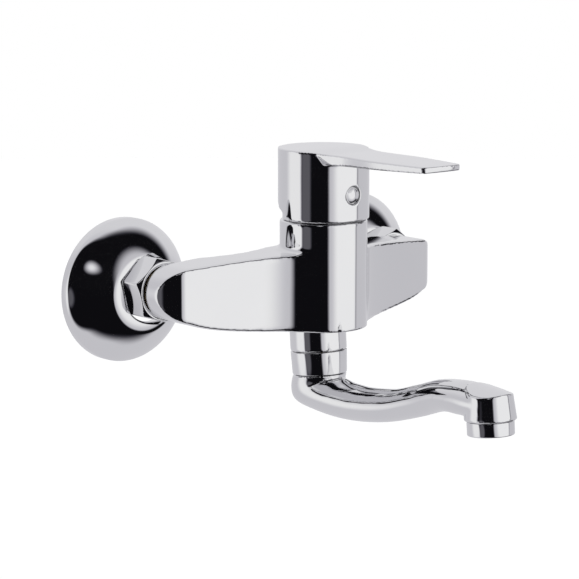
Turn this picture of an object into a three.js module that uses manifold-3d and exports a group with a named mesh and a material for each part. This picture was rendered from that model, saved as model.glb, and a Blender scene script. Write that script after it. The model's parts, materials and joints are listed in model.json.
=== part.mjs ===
// Wall-mounted single-lever sink mixer with a swivelling cast spout under its body.
// Millimetres. +X is right as seen from the room, +Y points into the wall, +Z is up.
// The wall is the plane y = 0. The origin lies on it, midway between the two supply inlets.

import * as THREE from 'three';
import { mergeVertices } from 'three/addons/utils/BufferGeometryUtils.js';
import Module from 'manifold-3d';

const wasm = await Module();
wasm.setup();

// ---------------------------------------------------------------------------------------------
// Driving dimensions
// ---------------------------------------------------------------------------------------------

// Fits
const GAP = 0.3;                  // gap between pieces that touch on the real mixer
const PAST = 2;                   // how far a cutting tool runs past the face that it cuts

// Overall layout
const INLET_SPACING = 150;        // centre distance of the two supply inlets
const AXIS_TO_WALL = 68;          // wall to the upright axis of the cartridge
const UNION_OFFSET = 3.4;         // wall end of each eccentric union sits this far below the inlet

// Body casting
const BARREL_R = 21.75;           // upright barrel that holds the cartridge
const BARREL_TOP = 32.3;
const BODY_BOTTOM = -21.5;
const RIM_CHAMFER = 0.5;
const ARM_END_R = 13.6;           // round end of each arm, about the inlet axis
const ARM_ROOT_TOP = 18.8;        // top plane of the arms, taken to the barrel's axis
const ARM_BACK = 38.5;            // wall to the flat back of the arm ends
const ARM_ROOT_BACK = 46.5;       // wall to the back of the arms beside the barrel
const ARM_TIP_FRONT = 58.6;       // wall to the front face in line with the inlets
const ARM_WAIST_FRONT = 62.7;     // wall to the front face at the waist of the arm
const ARM_WAIST_X = 55;
const SWEEP_ANGLE = 55;           // where the front sweep leaves the barrel, degrees from the front

// Waterways in the casting
const INLET_THREAD_R = 10.6;
const INLET_THREAD_DEPTH = 10.5;
const INLET_POCKET_R = 7;
const INLET_POCKET_DEPTH = 15;
const CHANNEL_R = 3.8;
const CHANNEL_BEND = { x: 16, y: 10.5, z: -1 };   // from the cartridge axis
const INLET_PORT = { x: 5.2, y: -3.4, r: 2.4 };   // from the cartridge axis, one port each side
const OUTLET_PORT = { y: 4.6, r: 3 };
const OUTLET_PORT_BOTTOM = -14;
const OUTLET_BORE_TOP = -9;

// Cartridge, Ø35 size
const SEAT_Z = 4.7;               // floor of the cartridge bore
const SEAT_BORE_R = 17.7;
const LEDGE_Z = 16.2;             // where the bore widens for the retaining nut
const NUT_BORE_R = 19.4;
const BASE_HEIGHT = 6;
const BASE_RECESS = 2.8;
const PIN_R = 1.7;                // the two locating pins under the base
const PIN_X = 12;
const PIN_LENGTH = 2.2;
const SEAL_OUTER_R = 4;
const SEAL_HEIGHT = 1.3;
const FIXED_DISC_R = 14.3;
const MOVING_DISC_R = 10.2;
const CHAMBER = { y: 3.6, halfX: 5.2, halfY: 3.6, depth: 2 };    // hollow under the moving disc
const DISC_THICKNESS = 4;
const HOUSING_FLANGE_TOP = 16.5;
const HOUSING_BARREL_R = 14.7;
const HOUSING_INNER_R = 12.9;
const HOUSING_TOP = 36.8;
const HOUSING_LID = 1.5;
const ROTOR_NECK_R = 9.3;
const ROTOR_TOP = 38.5;
const RETAINER_TOP = 23.5;
const PIVOT_Z = 33;               // height of the spindle's cross pin, the lever's lift axis
const PIVOT_ARM = 10;             // cross pin down to the ball of the spindle
const CROSS_PIN_R = 1.25;
const CROSS_PIN_LENGTH = 22;
const BALL_R = 2.9;
const STEM = 8;                   // width of the spindle's square stem
const STEM_TOP = 56;
const SPINDLE_ARM_R = 1.8;
const CARRIER_BLOCK = { x: 10.5, y: 12 };

// Cap ring over the retaining nut; the lever's skirt swings round its crown
const CAP_R = 20.4;
const CAP_SHOULDER = 37.4;
const CAP_TOP = 39.6;
const CAP_SLEEVE_BOTTOM = 25.5;
const CAP_SLEEVE_WALL = 1.7;
const CAP_HOLE_R = 15.3;

// Lever
const LEVER_R = 22.6;
const LEVER_BOTTOM = 32.9;
const LEVER_TOP = 68;
const LEVER_CAVITY_R = 21.2;
const LEVER_CAVITY_TOP = 58;
const LIFT_ANGLE = 25;            // full lift, degrees
const RELIEF_START = 1.2;         // the skirt's cut-away back starts this far before the axis
const BLADE_REACH = 86.3;         // cartridge axis to the blade's tip
const BLADE_WAIST = { at: 32, half: 14.4 };
const BLADE_BELLY = { at: 52, half: 15.2 };
const BLADE_TIP_HALF = 12.2;
const BLADE_TIP_CORNER = 2.2;
const BLADE_TOP_ROOT = 67.1;      // height of the blade's top face beside the skirt
const BLADE_TOP_TIP = 66.5;
const BLADE_ROOT_THICKNESS = 5.2;
const BLADE_TIP_THICKNESS = 3;
const SOCKET_BOSS_R = 9.5;
const SOCKET_BOSS_BOTTOM = 42.3;
const SCREW_BOSS_R = 5.6;
const INSERT_WALL = 1.3;
const SCREW_Z = 46;               // height of the grip screw and of the plug in front of it
const SCREW_R = 2.4;
const SCREW_LENGTH = 9.2;
const SCREW_SOCKET = { half: 1.25, depth: 3 };
const PLUG_R = 4.2;
const PLUG_DEPTH = 3.2;
const PLUG_CROWN = 0.5;

// Outlet and spout, in a frame whose origin is the groove under the body's outlet boss and whose
// Z axis is the swivel axis, which leans towards the room at its lower end
const OUTLET_Y = -64.5;
const OUTLET_Z = -34.1;
const OUTLET_LEAN = 4.4;          // degrees
const OUTLET_R = 14.1;
const OUTLET_CHAMFER = 0.6;
const NIPPLE_R = 10.3;
const NIPPLE_BORE_R = 7.6;
const NIPPLE_TOP = 9.2;
const NIPPLE_BOTTOM = -5;
const SWIVEL_NUT_LENGTH = 11.5;
const SWIVEL_NUT_END_R = 13.6;
const SWIVEL_LIP = 3.1;
const TAIL_R = 7.1;
const TAIL_BORE_R = 4.8;
const TAIL_TOP = 7;
const RING_GROOVE_DEPTH = 1.1;
const O_RING = { r: 0.55, heights: [4.5, 0.6] };
const SLIP_RING = { clearance: 0.4, thickness: 1.6, z: -6.4, split: 30 };   // in the nut's bore
const SPOUT_REACH = 121.3;        // swivel axis to the axis of the aerator
const SPOUT_TOP = -11.8;          // where the spout leaves the swivel nut
const SPOUT_WALL = 3;
const HEAD_R = 12.5;
const HEAD_BOTTOM = -24.6;
const HEAD_TAPER = 6.5;           // degrees; the head widens towards its bottom
const HEAD_CROWN = { r: 26, top: -9.75, slope: 10.8 };    // crowned top, sloping to the front

// Aerator
const AERATOR_R = 11.2;
const AERATOR_LENGTH = 6.7;
const AERATOR_THREAD_R = 10.1;
const AERATOR_THREAD_LENGTH = 6.2;
const AERATOR_BORE_R = 9;
const AERATOR_LIP = { width: 0.8, height: 1.2 };
const WASHER_THICKNESS = 1.8;
const SCREEN_THICKNESS = 0.5;
const INSERT_CELL = 3.6;          // pitch of the insert's hexagonal cells
const INSERT_RIB = 0.9;

// Wall unions, along each inlet axis, measured from the wall
const UNION_NUT = { acrossFlats: 29.6, front: 37.2, back: 23.4, lip: 2.6, turn: 17 };
const UNION_THREAD_R = 13.15;     // G3/4 end
const UNION_TAIL_R = 10.45;       // G1/2 end
const UNION_BORE_R = 7.5;
const UNION_NECK_R = 11;          // neck behind the G3/4 thread, half way down the offset
const UNION_THREAD_BACK = 24;     // wall to the back end of the G3/4 thread
const UNION_STEP = 11;            // wall to the step between the neck and the tail
const UNION_IN_WALL = 14;         // how far the tail reaches behind the wall's face
const INLET_NIPPLE_R = 10.3;
const INLET_FLANGE_R = 12.8;
const INLET_FLANGE = 2.2;
const INLET_WASHER = { outer: 12.6, thickness: 1.6 };

// Wall flanges
const FLANGE_R = 36;
const FLANGE_RIM_DEPTH = 4;
const FLANGE_KNEE = { r: 20, y: 21.2, slope: 35 };     // where the flank turns into the front cone
const FLANGE_HEIGHT = 23;
const FLANGE_HOLE_R = 13.5;
const FLANGE_WALL = 1.4;
const FLANGE_FOOT = 2.4;

// ---------------------------------------------------------------------------------------------
// Finishes
// ---------------------------------------------------------------------------------------------

function finish(color, roughness, metalness) {
  return new THREE.MeshStandardMaterial({ color, roughness, metalness });
}

const CHROME = finish(0xd9dade, 0.06, 1);
const BRASS = finish(0xc9a860, 0.35, 1);
const STEEL = finish(0xb4b6b8, 0.3, 1);
const RUBBER = finish(0x1c1c1e, 0.8, 0);
const CERAMIC = finish(0xf1efe8, 0.3, 0);
const WHITE_PLASTIC = finish(0xe8e8e4, 0.45, 0);
const GREY_PLASTIC = finish(0x8a8d90, 0.5, 0);
const FIBRE = finish(0x7a2f22, 0.8, 0);

// ---------------------------------------------------------------------------------------------
// Geometry helpers
// ---------------------------------------------------------------------------------------------

const rad = THREE.MathUtils.degToRad;

/** Six times the volume that the triangles enclose; negative when the faces point inwards. */
function signedVolume(position, index) {
  const [a, b, c] = [new THREE.Vector3(), new THREE.Vector3(), new THREE.Vector3()];
  let total = 0;
  for (let i = 0; i < index.length; i += 3) {
    a.fromBufferAttribute(position, index[i]);
    b.fromBufferAttribute(position, index[i + 1]);
    c.fromBufferAttribute(position, index[i + 2]);
    total += a.dot(b.cross(c));
  }
  return total;
}

/** Shares the corners of a closed geometry, drops collapsed triangles and turns faces outwards. */
function weld(geometry) {
  const bare = geometry.clone();
  bare.deleteAttribute('normal');
  bare.deleteAttribute('uv');
  const merged = mergeVertices(bare, 1e-4);
  const old = merged.index.array;
  const index = [];
  for (let i = 0; i < old.length; i += 3) {
    const [a, b, c] = [old[i], old[i + 1], old[i + 2]];
    if (a !== b && b !== c && c !== a) index.push(a, b, c);
  }
  if (signedVolume(merged.attributes.position, index) < 0) index.reverse();
  merged.setIndex(index);
  return merged;
}

function toSolid(geometry) {
  const closed = weld(geometry);
  const vertProperties = new Float32Array(closed.attributes.position.array);
  const triVerts = new Uint32Array(closed.index.array);
  return new wasm.Manifold(new wasm.Mesh({ numProp: 3, vertProperties, triVerts }));
}

function toGeometry(solid) {
  const mesh = solid.getMesh();
  const geometry = new THREE.BufferGeometry();
  geometry.setAttribute('position', new THREE.BufferAttribute(mesh.vertProperties, 3));
  geometry.setIndex(Array.from(mesh.triVerts));
  return geometry;
}

function join(first, ...others) {
  return toGeometry(others.reduce((sum, other) => sum.add(toSolid(other)), toSolid(first)));
}

function cut(base, ...tools) {
  return toGeometry(tools.reduce((rest, tool) => rest.subtract(toSolid(tool)), toSolid(base)));
}

function common(a, b) {
  return toGeometry(toSolid(a).intersect(toSolid(b)));
}

/** Turns a closed [radius, height] profile about the Z axis. */
function turnZ(profile, sides = 48) {
  return turnY(profile, sides).rotateX(Math.PI / 2);
}

/** Turns a closed [radius, y] profile about the Y axis. */
function turnY(profile, sides = 48) {
  const points = profile.map(([r, y]) => new THREE.Vector2(r, y));
  const closed = profile[0][0] === 0 ? points : [...points, points[0].clone()];
  return weld(new THREE.LatheGeometry(closed, sides));
}

function rodZ(r, low, high, sides = 32) {
  return turnZ([[0, low], [r, low], [r, high], [0, high]], sides);
}

function rodY(r, low, high, sides = 32) {
  return turnY([[0, low], [r, low], [r, high], [0, high]], sides);
}

function ringZ(outer, inner, low, high, sides = 40) {
  return turnZ([[inner, low], [outer, low], [outer, high], [inner, high]], sides);
}

function block(x, y, z, low) {
  return new THREE.BoxGeometry(x, y, z).translate(0, 0, low + z / 2);
}

/** A straight rod between two points. */
function rodBetween(from, to, r, sides = 16) {
  const along = new THREE.Vector3().subVectors(to, from);
  const rod = new THREE.CylinderGeometry(r, r, along.length(), sides);
  const turn = new THREE.Quaternion().setFromUnitVectors(
    new THREE.Vector3(0, 1, 0), along.clone().normalize());
  const middle = new THREE.Vector3().addVectors(from, to).multiplyScalar(0.5);
  return rod.applyQuaternion(turn).translate(middle.x, middle.y, middle.z);
}

/** Extrudes an outline drawn in X and Y upwards from one height to another. */
function extrudeZ(shape, low, high, curveSegments = 10) {
  const options = { depth: high - low, bevelEnabled: false, curveSegments };
  return new THREE.ExtrudeGeometry(shape, options).translate(0, 0, low);
}

/** Extrudes an outline drawn in X and Z along Y. */
function extrudeY(shape, low, high, curveSegments = 10) {
  return extrudeZ(shape, -high, -low, curveSegments).rotateX(Math.PI / 2);
}

/** Extrudes an outline drawn in Y and Z along X. */
function extrudeX(shape, low, high, curveSegments = 10) {
  const cycle = new THREE.Matrix4().set(0, 0, 1, 0, 1, 0, 0, 0, 0, 1, 0, 0, 0, 0, 0, 1);
  return extrudeZ(shape, low, high, curveSegments).applyMatrix4(cycle);
}

function polygon(points) {
  return new THREE.Shape(points.map(([x, y]) => new THREE.Vector2(x, y)));
}

/** Skins a row of closed rings, each a list of points, and closes both ends with a fan. */
function loft(rings) {
  const count = rings[0].length;
  const points = rings.flat();
  const index = [];
  for (let ring = 0; ring + 1 < rings.length; ring += 1) {
    for (let i = 0; i < count; i += 1) {
      const next = (i + 1) % count;
      const [a, b] = [ring * count + i, ring * count + next];
      index.push(a, b, b + count, a, b + count, a + count);
    }
  }
  const last = (rings.length - 1) * count;
  for (let i = 1; i + 1 < count; i += 1) {
    index.push(0, i + 1, i, last, last + i, last + i + 1);
  }
  const geometry = new THREE.BufferGeometry().setFromPoints(points);
  geometry.setIndex(index);
  return geometry;
}

const mixer = new THREE.Group();

/** Adds one named piece to the mixer or to one of its groups. */
function piece(name, geometry, material, parent = mixer) {
  const mesh = new THREE.Mesh(weld(geometry), material);
  mesh.name = name;
  parent.add(mesh);
  return mesh;
}

function group(x, y, z, parent = mixer) {
  const frame = new THREE.Group();
  frame.position.set(x, y, z);
  parent.add(frame);
  return frame;
}

// ---------------------------------------------------------------------------------------------
// Frames: the cartridge axis, the leaning swivel axis and the two inlet axes
// ---------------------------------------------------------------------------------------------

const cartridge = group(0, -AXIS_TO_WALL, 0);
const outlet = group(0, OUTLET_Y, OUTLET_Z);
outlet.rotation.x = -rad(OUTLET_LEAN);
const aerator = group(0, -SPOUT_REACH, HEAD_BOTTOM, outlet);
const SIDES = [['left', -1], ['right', 1]];

/** Moves a geometry from the swivel frame into the mixer's frame. */
function fromOutlet(geometry) {
  return geometry.rotateX(-rad(OUTLET_LEAN)).translate(0, OUTLET_Y, OUTLET_Z);
}

// ---------------------------------------------------------------------------------------------
// Body casting: barrel, two swept arms, outlet boss and waterways
// ---------------------------------------------------------------------------------------------

/** Right arm seen from the front: a straight falling top, a round end, a hollow underside. */
function armElevation() {
  const inletX = INLET_SPACING / 2;
  const topAngle = Math.PI / 2 - Math.atan2(ARM_ROOT_TOP - ARM_END_R, inletX);
  const endAngle = rad(-80);
  const shape = new THREE.Shape();
  shape.moveTo(0, ARM_ROOT_TOP);
  shape.absarc(inletX, 0, ARM_END_R, topAngle, endAngle, true);
  shape.bezierCurveTo(
    inletX * 0.88, -18.5, inletX * 0.54, BODY_BOTTOM - 0.4, 0, BODY_BOTTOM);
  shape.closePath();
  return shape;
}

/** Right arm seen from above: a hollow sweep off the barrel, a slight crown, a round end. */
function armPlan() {
  const inletX = INLET_SPACING / 2;
  const tipX = inletX + ARM_END_R;
  const sweep = rad(SWEEP_ANGLE);
  const startX = BARREL_R * Math.sin(sweep);
  const startY = -AXIS_TO_WALL - BARREL_R * Math.cos(sweep);
  const hold = 8;                 // length of the sweep's handle beside the barrel
  const shape = new THREE.Shape();
  shape.moveTo(0, startY);
  shape.lineTo(startX, startY);
  shape.bezierCurveTo(
    startX + hold * Math.cos(sweep), startY + hold * Math.sin(sweep),
    ARM_WAIST_X - 20, -ARM_WAIST_FRONT - 4.2, ARM_WAIST_X, -ARM_WAIST_FRONT);
  shape.bezierCurveTo(
    ARM_WAIST_X + 8, -ARM_WAIST_FRONT + 1.7, inletX - 6, -ARM_TIP_FRONT - 2.2,
    inletX + 1, -ARM_TIP_FRONT);
  shape.bezierCurveTo(inletX + 9.5, -ARM_TIP_FRONT + 2.2, tipX, -53, tipX, -45);
  shape.lineTo(tipX, -ARM_BACK);
  shape.lineTo(inletX - ARM_END_R, -ARM_BACK);
  shape.bezierCurveTo(
    inletX - 25, -ARM_BACK, ARM_WAIST_X - 12, -ARM_ROOT_BACK, ARM_WAIST_X - 26, -ARM_ROOT_BACK);
  shape.lineTo(0, -ARM_ROOT_BACK);
  shape.closePath();
  return shape;
}

function armSolid() {
  const front = extrudeY(armElevation(), -AXIS_TO_WALL - BARREL_R, 0, 8);
  const plan = extrudeZ(armPlan(), BODY_BOTTOM - PAST, ARM_ROOT_TOP + PAST, 8);
  return common(front, plan);
}

function bodyCasting() {
  const barrel = turnZ([
    [0, BODY_BOTTOM], [BARREL_R, BODY_BOTTOM], [BARREL_R, BARREL_TOP - RIM_CHAMFER],
    [BARREL_R - RIM_CHAMFER, BARREL_TOP], [0, BARREL_TOP],
  ], 48).translate(0, -AXIS_TO_WALL, 0);
  const arm = armSolid();
  const boss = fromOutlet(turnZ([
    [0, GAP - 0.05], [OUTLET_R - OUTLET_CHAMFER, GAP - 0.05],
    [OUTLET_R, GAP - 0.05 + OUTLET_CHAMFER], [OUTLET_R, 16], [0, 16],
  ], 36));
  const outside = join(barrel, arm, arm.clone().scale(-1, 1, 1), boss);
  return cut(outside, cartridgeBore(), outletBore(), ...inletBores(), ...ports());
}

function cartridgeBore() {
  return turnZ([
    [0, SEAT_Z], [SEAT_BORE_R, SEAT_Z], [SEAT_BORE_R, LEDGE_Z],
    [NUT_BORE_R, LEDGE_Z], [NUT_BORE_R, BARREL_TOP + PAST], [0, BARREL_TOP + PAST],
  ], 48).translate(0, -AXIS_TO_WALL, 0);
}

function outletBore() {
  const top = OUTLET_BORE_TOP - OUTLET_Z;
  return fromOutlet(turnZ([
    [0, -PAST], [NIPPLE_R + GAP, -PAST], [NIPPLE_R + GAP, NIPPLE_TOP + GAP],
    [NIPPLE_BORE_R, NIPPLE_TOP + GAP], [NIPPLE_BORE_R, top], [0, top],
  ], 32));
}

/** Each inlet: a threaded mouth, a pocket, and a channel that climbs to its cartridge port. */
function inletBores() {
  const tools = [];
  for (const [, side] of SIDES) {
    const x = side * INLET_SPACING / 2;
    const mouth = -ARM_BACK;
    tools.push(turnY([
      [0, mouth + PAST], [INLET_THREAD_R, mouth + PAST],
      [INLET_THREAD_R, mouth - INLET_THREAD_DEPTH],
      [INLET_POCKET_R, mouth - INLET_THREAD_DEPTH],
      [INLET_POCKET_R, mouth - INLET_POCKET_DEPTH], [0, mouth - INLET_POCKET_DEPTH],
    ], 32).translate(x, 0, 0));
    const pocket = new THREE.Vector3(x, mouth - INLET_POCKET_DEPTH + CHANNEL_R, 0);
    const bend = new THREE.Vector3(
      side * CHANNEL_BEND.x, CHANNEL_BEND.y - AXIS_TO_WALL, CHANNEL_BEND.z);
    const port = new THREE.Vector3(
      side * INLET_PORT.x, INLET_PORT.y - AXIS_TO_WALL, CHANNEL_BEND.z);
    tools.push(rodBetween(pocket, bend, CHANNEL_R));
    tools.push(new THREE.SphereGeometry(CHANNEL_R, 12, 8).translate(bend.x, bend.y, bend.z));
    tools.push(rodBetween(bend, port, CHANNEL_R - 0.6));
  }
  return tools;
}

/** Upright holes from the cartridge seat: two inlets, one outlet and two pin holes. */
function ports() {
  const tools = [];
  for (const [, side] of SIDES) {
    tools.push(rodZ(INLET_PORT.r, CHANNEL_BEND.z, SEAT_Z + PAST, 20)
      .translate(side * INLET_PORT.x, INLET_PORT.y - AXIS_TO_WALL, 0));
    tools.push(rodZ(PIN_R + GAP, SEAT_Z - PIN_LENGTH - GAP, SEAT_Z + PAST, 16)
      .translate(side * PIN_X, -AXIS_TO_WALL, 0));
  }
  tools.push(rodZ(OUTLET_PORT.r, OUTLET_PORT_BOTTOM, SEAT_Z + PAST, 20)
    .translate(0, OUTLET_PORT.y - AXIS_TO_WALL, 0));
  return tools;
}

piece('body', bodyCasting(), CHROME);

// ---------------------------------------------------------------------------------------------
// Cartridge: base with seals, two ceramic discs, carrier, rotor, spindle, housing and nut
// ---------------------------------------------------------------------------------------------

const baseBottom = SEAT_Z + GAP;
const baseTop = baseBottom + BASE_HEIGHT;
const slideTravel = PIVOT_ARM * Math.sin(rad(LIFT_ANGLE));   // closed to fully open
const fixedDiscBottom = baseTop - BASE_RECESS + GAP;
const fixedDiscTop = fixedDiscBottom + DISC_THICKNESS;
const movingDiscBottom = fixedDiscTop + GAP;
const movingDiscTop = movingDiscBottom + DISC_THICKNESS;
const carrierBottom = movingDiscTop + GAP;
const carrierStep = carrierBottom + 2.6;
const carrierTop = PIVOT_Z - PIVOT_ARM + 2;
const rotorBottom = carrierStep + GAP;
const rotorShoulder = HOUSING_TOP - HOUSING_LID - GAP;
const PORTS = {
  hot: [-INLET_PORT.x, INLET_PORT.y, INLET_PORT.r],
  cold: [INLET_PORT.x, INLET_PORT.y, INLET_PORT.r],
  outlet: [0, OUTLET_PORT.y, OUTLET_PORT.r],
};

function cartridgeBase() {
  const puck = rodZ(SEAT_BORE_R - GAP, baseBottom, baseTop, 36);
  const tools = [rodZ(FIXED_DISC_R + GAP, baseTop - BASE_RECESS, baseTop + PAST, 36)];
  for (const [x, y, r] of Object.values(PORTS)) {
    tools.push(rodZ(r, baseBottom - PAST, baseTop, 20).translate(x, y, 0));
    tools.push(rodZ(SEAL_OUTER_R + GAP, baseBottom - PAST, baseBottom + SEAL_HEIGHT + GAP, 24)
      .translate(x, y, 0));
  }
  const pins = SIDES.map(([, side]) =>
    rodZ(PIN_R, baseBottom - PIN_LENGTH, baseBottom + 1, 16).translate(side * PIN_X, 0, 0));
  return join(cut(puck, ...tools), ...pins);
}

function fixedDisc() {
  const holes = Object.values(PORTS).map(([x, y, r]) =>
    rodZ(r, fixedDiscBottom - PAST, fixedDiscTop + PAST, 20).translate(x, y, 0));
  return cut(rodZ(FIXED_DISC_R, fixedDiscBottom, fixedDiscTop, 36), ...holes);
}

/** The upper disc: its hollow underside joins the ports when it slides towards the room. */
function movingDisc() {
  const disc = rodZ(MOVING_DISC_R, movingDiscBottom, movingDiscTop, 40)
    .translate(0, slideTravel / 2, 0);
  const chamber = rodZ(1, movingDiscBottom - PAST, movingDiscBottom + CHAMBER.depth, 24);
  return cut(disc, chamber.scale(CHAMBER.halfX, CHAMBER.halfY, 1).translate(0, CHAMBER.y, 0));
}

function discCarrier() {
  const plate = rodZ(MOVING_DISC_R, carrierBottom, carrierStep, 40)
    .translate(0, slideTravel / 2, 0);
  const slide = block(CARRIER_BLOCK.x, CARRIER_BLOCK.y, carrierTop - carrierStep + 1, carrierStep - 1);
  const socket = rodZ(BALL_R + GAP, carrierStep - 0.6, carrierTop + PAST, 24);
  return cut(join(plate, slide), socket);
}

/** Turns inside the housing; grooved underneath for the carrier, slotted for the spindle. */
function cartridgeRotor() {
  const barrel = turnZ([
    [0, rotorBottom], [HOUSING_INNER_R - GAP, rotorBottom], [HOUSING_INNER_R - GAP, rotorShoulder],
    [ROTOR_NECK_R, rotorShoulder], [ROTOR_NECK_R, ROTOR_TOP], [0, ROTOR_TOP],
  ], 40);
  const ballTop = PIVOT_Z - PIVOT_ARM * Math.cos(rad(LIFT_ANGLE)) + BALL_R;      // at full lift
  const groove = block(CARRIER_BLOCK.x + 2 * GAP, 4 * HOUSING_INNER_R,
    ballTop + GAP - rotorBottom + PAST, rotorBottom - PAST);
  const lean = Math.tan(rad(LIFT_ANGLE)) * (ROTOR_TOP - PIVOT_Z);
  const slotBack = STEM / 2 / Math.cos(rad(LIFT_ANGLE)) + lean + GAP;
  const slotFront = STEM / 2 + 1.6;
  const slot = block(STEM + 2 * GAP, slotBack + slotFront, ROTOR_TOP - rotorBottom + 2 * PAST,
    rotorBottom - PAST).translate(0, (slotBack - slotFront) / 2, 0);
  const pinHole = crossPin(CROSS_PIN_R + GAP, CROSS_PIN_LENGTH + 2 * GAP);
  return cut(barrel, groove, slot, pinHole);
}

/** A rod across the cartridge at the height of the spindle's pivot. */
function crossPin(r, length) {
  return rodZ(r, -length / 2, length / 2, 16).rotateY(Math.PI / 2).translate(0, 0, PIVOT_Z);
}

function leverSpindle() {
  const stem = block(STEM, STEM, STEM_TOP - PIVOT_Z + 3, PIVOT_Z - 3);
  const ballZ = PIVOT_Z - PIVOT_ARM;
  const arm = rodZ(SPINDLE_ARM_R, ballZ, PIVOT_Z - 1, 16);
  const ball = new THREE.SphereGeometry(BALL_R, 16, 10).rotateX(Math.PI / 2).translate(0, 0, ballZ);
  return cut(join(stem, arm, ball), crossPin(CROSS_PIN_R + GAP, STEM + 2 * PAST));
}

function cartridgeHousing() {
  const discRoom = fixedDiscTop + GAP;
  const lidBottom = HOUSING_TOP - HOUSING_LID;
  return turnZ([
    [FIXED_DISC_R + GAP, baseTop + GAP], [SEAT_BORE_R - GAP, baseTop + GAP],
    [SEAT_BORE_R - GAP, HOUSING_FLANGE_TOP], [HOUSING_BARREL_R, HOUSING_FLANGE_TOP],
    [HOUSING_BARREL_R, HOUSING_TOP], [ROTOR_NECK_R + GAP, HOUSING_TOP],
    [ROTOR_NECK_R + GAP, lidBottom], [HOUSING_INNER_R, lidBottom],
    [HOUSING_INNER_R, discRoom], [FIXED_DISC_R + GAP, discRoom],
  ], 36);
}

/** Ring nut that clamps the housing; six notches take the key. */
function cartridgeNut() {
  const low = HOUSING_FLANGE_TOP + GAP;
  const outer = NUT_BORE_R - GAP;
  const ring = ringZ(outer, HOUSING_BARREL_R + GAP, low, RETAINER_TOP, 36);
  const notches = [];
  for (let i = 0; i < 6; i += 1) {
    notches.push(block(4, 2.4, PAST + 2.5, RETAINER_TOP - 2.5)
      .translate(0, HOUSING_BARREL_R + GAP + 0.9, 0).rotateZ(i * Math.PI / 3));
  }
  return cut(ring, ...notches);
}

/** Chrome ring screwed into the body's mouth: its crown stays inside the skirt's swing. */
function capRing() {
  const seat = BARREL_TOP + GAP;
  const sleeveR = NUT_BORE_R - GAP;
  const crown = CAP_TOP - CAP_SHOULDER;
  return turnZ([
    [sleeveR - CAP_SLEEVE_WALL, CAP_SLEEVE_BOTTOM], [sleeveR, CAP_SLEEVE_BOTTOM],
    [sleeveR, seat], [CAP_R, seat], [CAP_R, CAP_SHOULDER],
    [CAP_R - 0.29 * crown, CAP_SHOULDER + 0.71 * crown], [CAP_R - crown, CAP_TOP],
    [CAP_HOLE_R, CAP_TOP], [CAP_HOLE_R, CAP_TOP - 1.3],
    [sleeveR - CAP_SLEEVE_WALL, CAP_TOP - 1.3],
  ], 48);
}

piece('cartridge_base', cartridgeBase(), WHITE_PLASTIC, cartridge);
for (const [name, [x, y, r]] of Object.entries(PORTS)) {
  const seal = ringZ(SEAL_OUTER_R, r + GAP, baseBottom, baseBottom + SEAL_HEIGHT, 24);
  piece(`port_seal_${name}`, seal.translate(x, y, 0), RUBBER, cartridge);
}
piece('fixed_ceramic_disc', fixedDisc(), CERAMIC, cartridge);
piece('moving_ceramic_disc', movingDisc(), CERAMIC, cartridge);
piece('disc_carrier', discCarrier(), WHITE_PLASTIC, cartridge);
piece('cartridge_rotor', cartridgeRotor(), GREY_PLASTIC, cartridge);
piece('spindle_pin', crossPin(CROSS_PIN_R, CROSS_PIN_LENGTH), STEEL, cartridge);
piece('lever_spindle', leverSpindle(), BRASS, cartridge);
piece('cartridge_housing', cartridgeHousing(), WHITE_PLASTIC, cartridge);
piece('cartridge_nut', cartridgeNut(), BRASS, cartridge);
piece('cap_ring', capRing(), CHROME, cartridge);

// ---------------------------------------------------------------------------------------------
// Lever: hollow skirt, flat blade, socket for the spindle, grip screw and indicator plug
// ---------------------------------------------------------------------------------------------

/** The blade from above, towards -Y: it leaves the skirt in a hollow and swells again. */
function bladePlan() {
  const corner = BLADE_TIP_CORNER;
  const shape = new THREE.Shape();
  const rightEdge = (mirror) => ({ x: (v) => mirror * v });
  const right = rightEdge(1);
  const left = rightEdge(-1);
  shape.moveTo(left.x(16), 0);
  shape.lineTo(right.x(16), 0);
  shape.lineTo(right.x(19.3), -11.8);
  shape.bezierCurveTo(right.x(17.2), -19, right.x(14.4), -24, right.x(BLADE_WAIST.half), -BLADE_WAIST.at);
  shape.bezierCurveTo(right.x(BLADE_WAIST.half), -39, right.x(BLADE_BELLY.half), -45,
    right.x(BLADE_BELLY.half), -BLADE_BELLY.at);
  shape.bezierCurveTo(right.x(BLADE_BELLY.half), -61, right.x(13.6), -72,
    right.x(BLADE_TIP_HALF), -(BLADE_REACH - 1 - corner));
  shape.quadraticCurveTo(right.x(BLADE_TIP_HALF - 0.3), -(BLADE_REACH - 1),
    right.x(BLADE_TIP_HALF - corner), -(BLADE_REACH - 0.7));
  shape.quadraticCurveTo(0, -(BLADE_REACH + 0.7), left.x(BLADE_TIP_HALF - corner), -(BLADE_REACH - 0.7));
  shape.quadraticCurveTo(left.x(BLADE_TIP_HALF - 0.3), -(BLADE_REACH - 1),
    left.x(BLADE_TIP_HALF), -(BLADE_REACH - 1 - corner));
  shape.bezierCurveTo(left.x(13.6), -72, left.x(BLADE_BELLY.half), -61,
    left.x(BLADE_BELLY.half), -BLADE_BELLY.at);
  shape.bezierCurveTo(left.x(BLADE_BELLY.half), -45, left.x(BLADE_WAIST.half), -39,
    left.x(BLADE_WAIST.half), -BLADE_WAIST.at);
  shape.bezierCurveTo(left.x(14.4), -24, left.x(17.2), -19, left.x(19.3), -11.8);
  shape.closePath();
  return shape;
}

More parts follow.
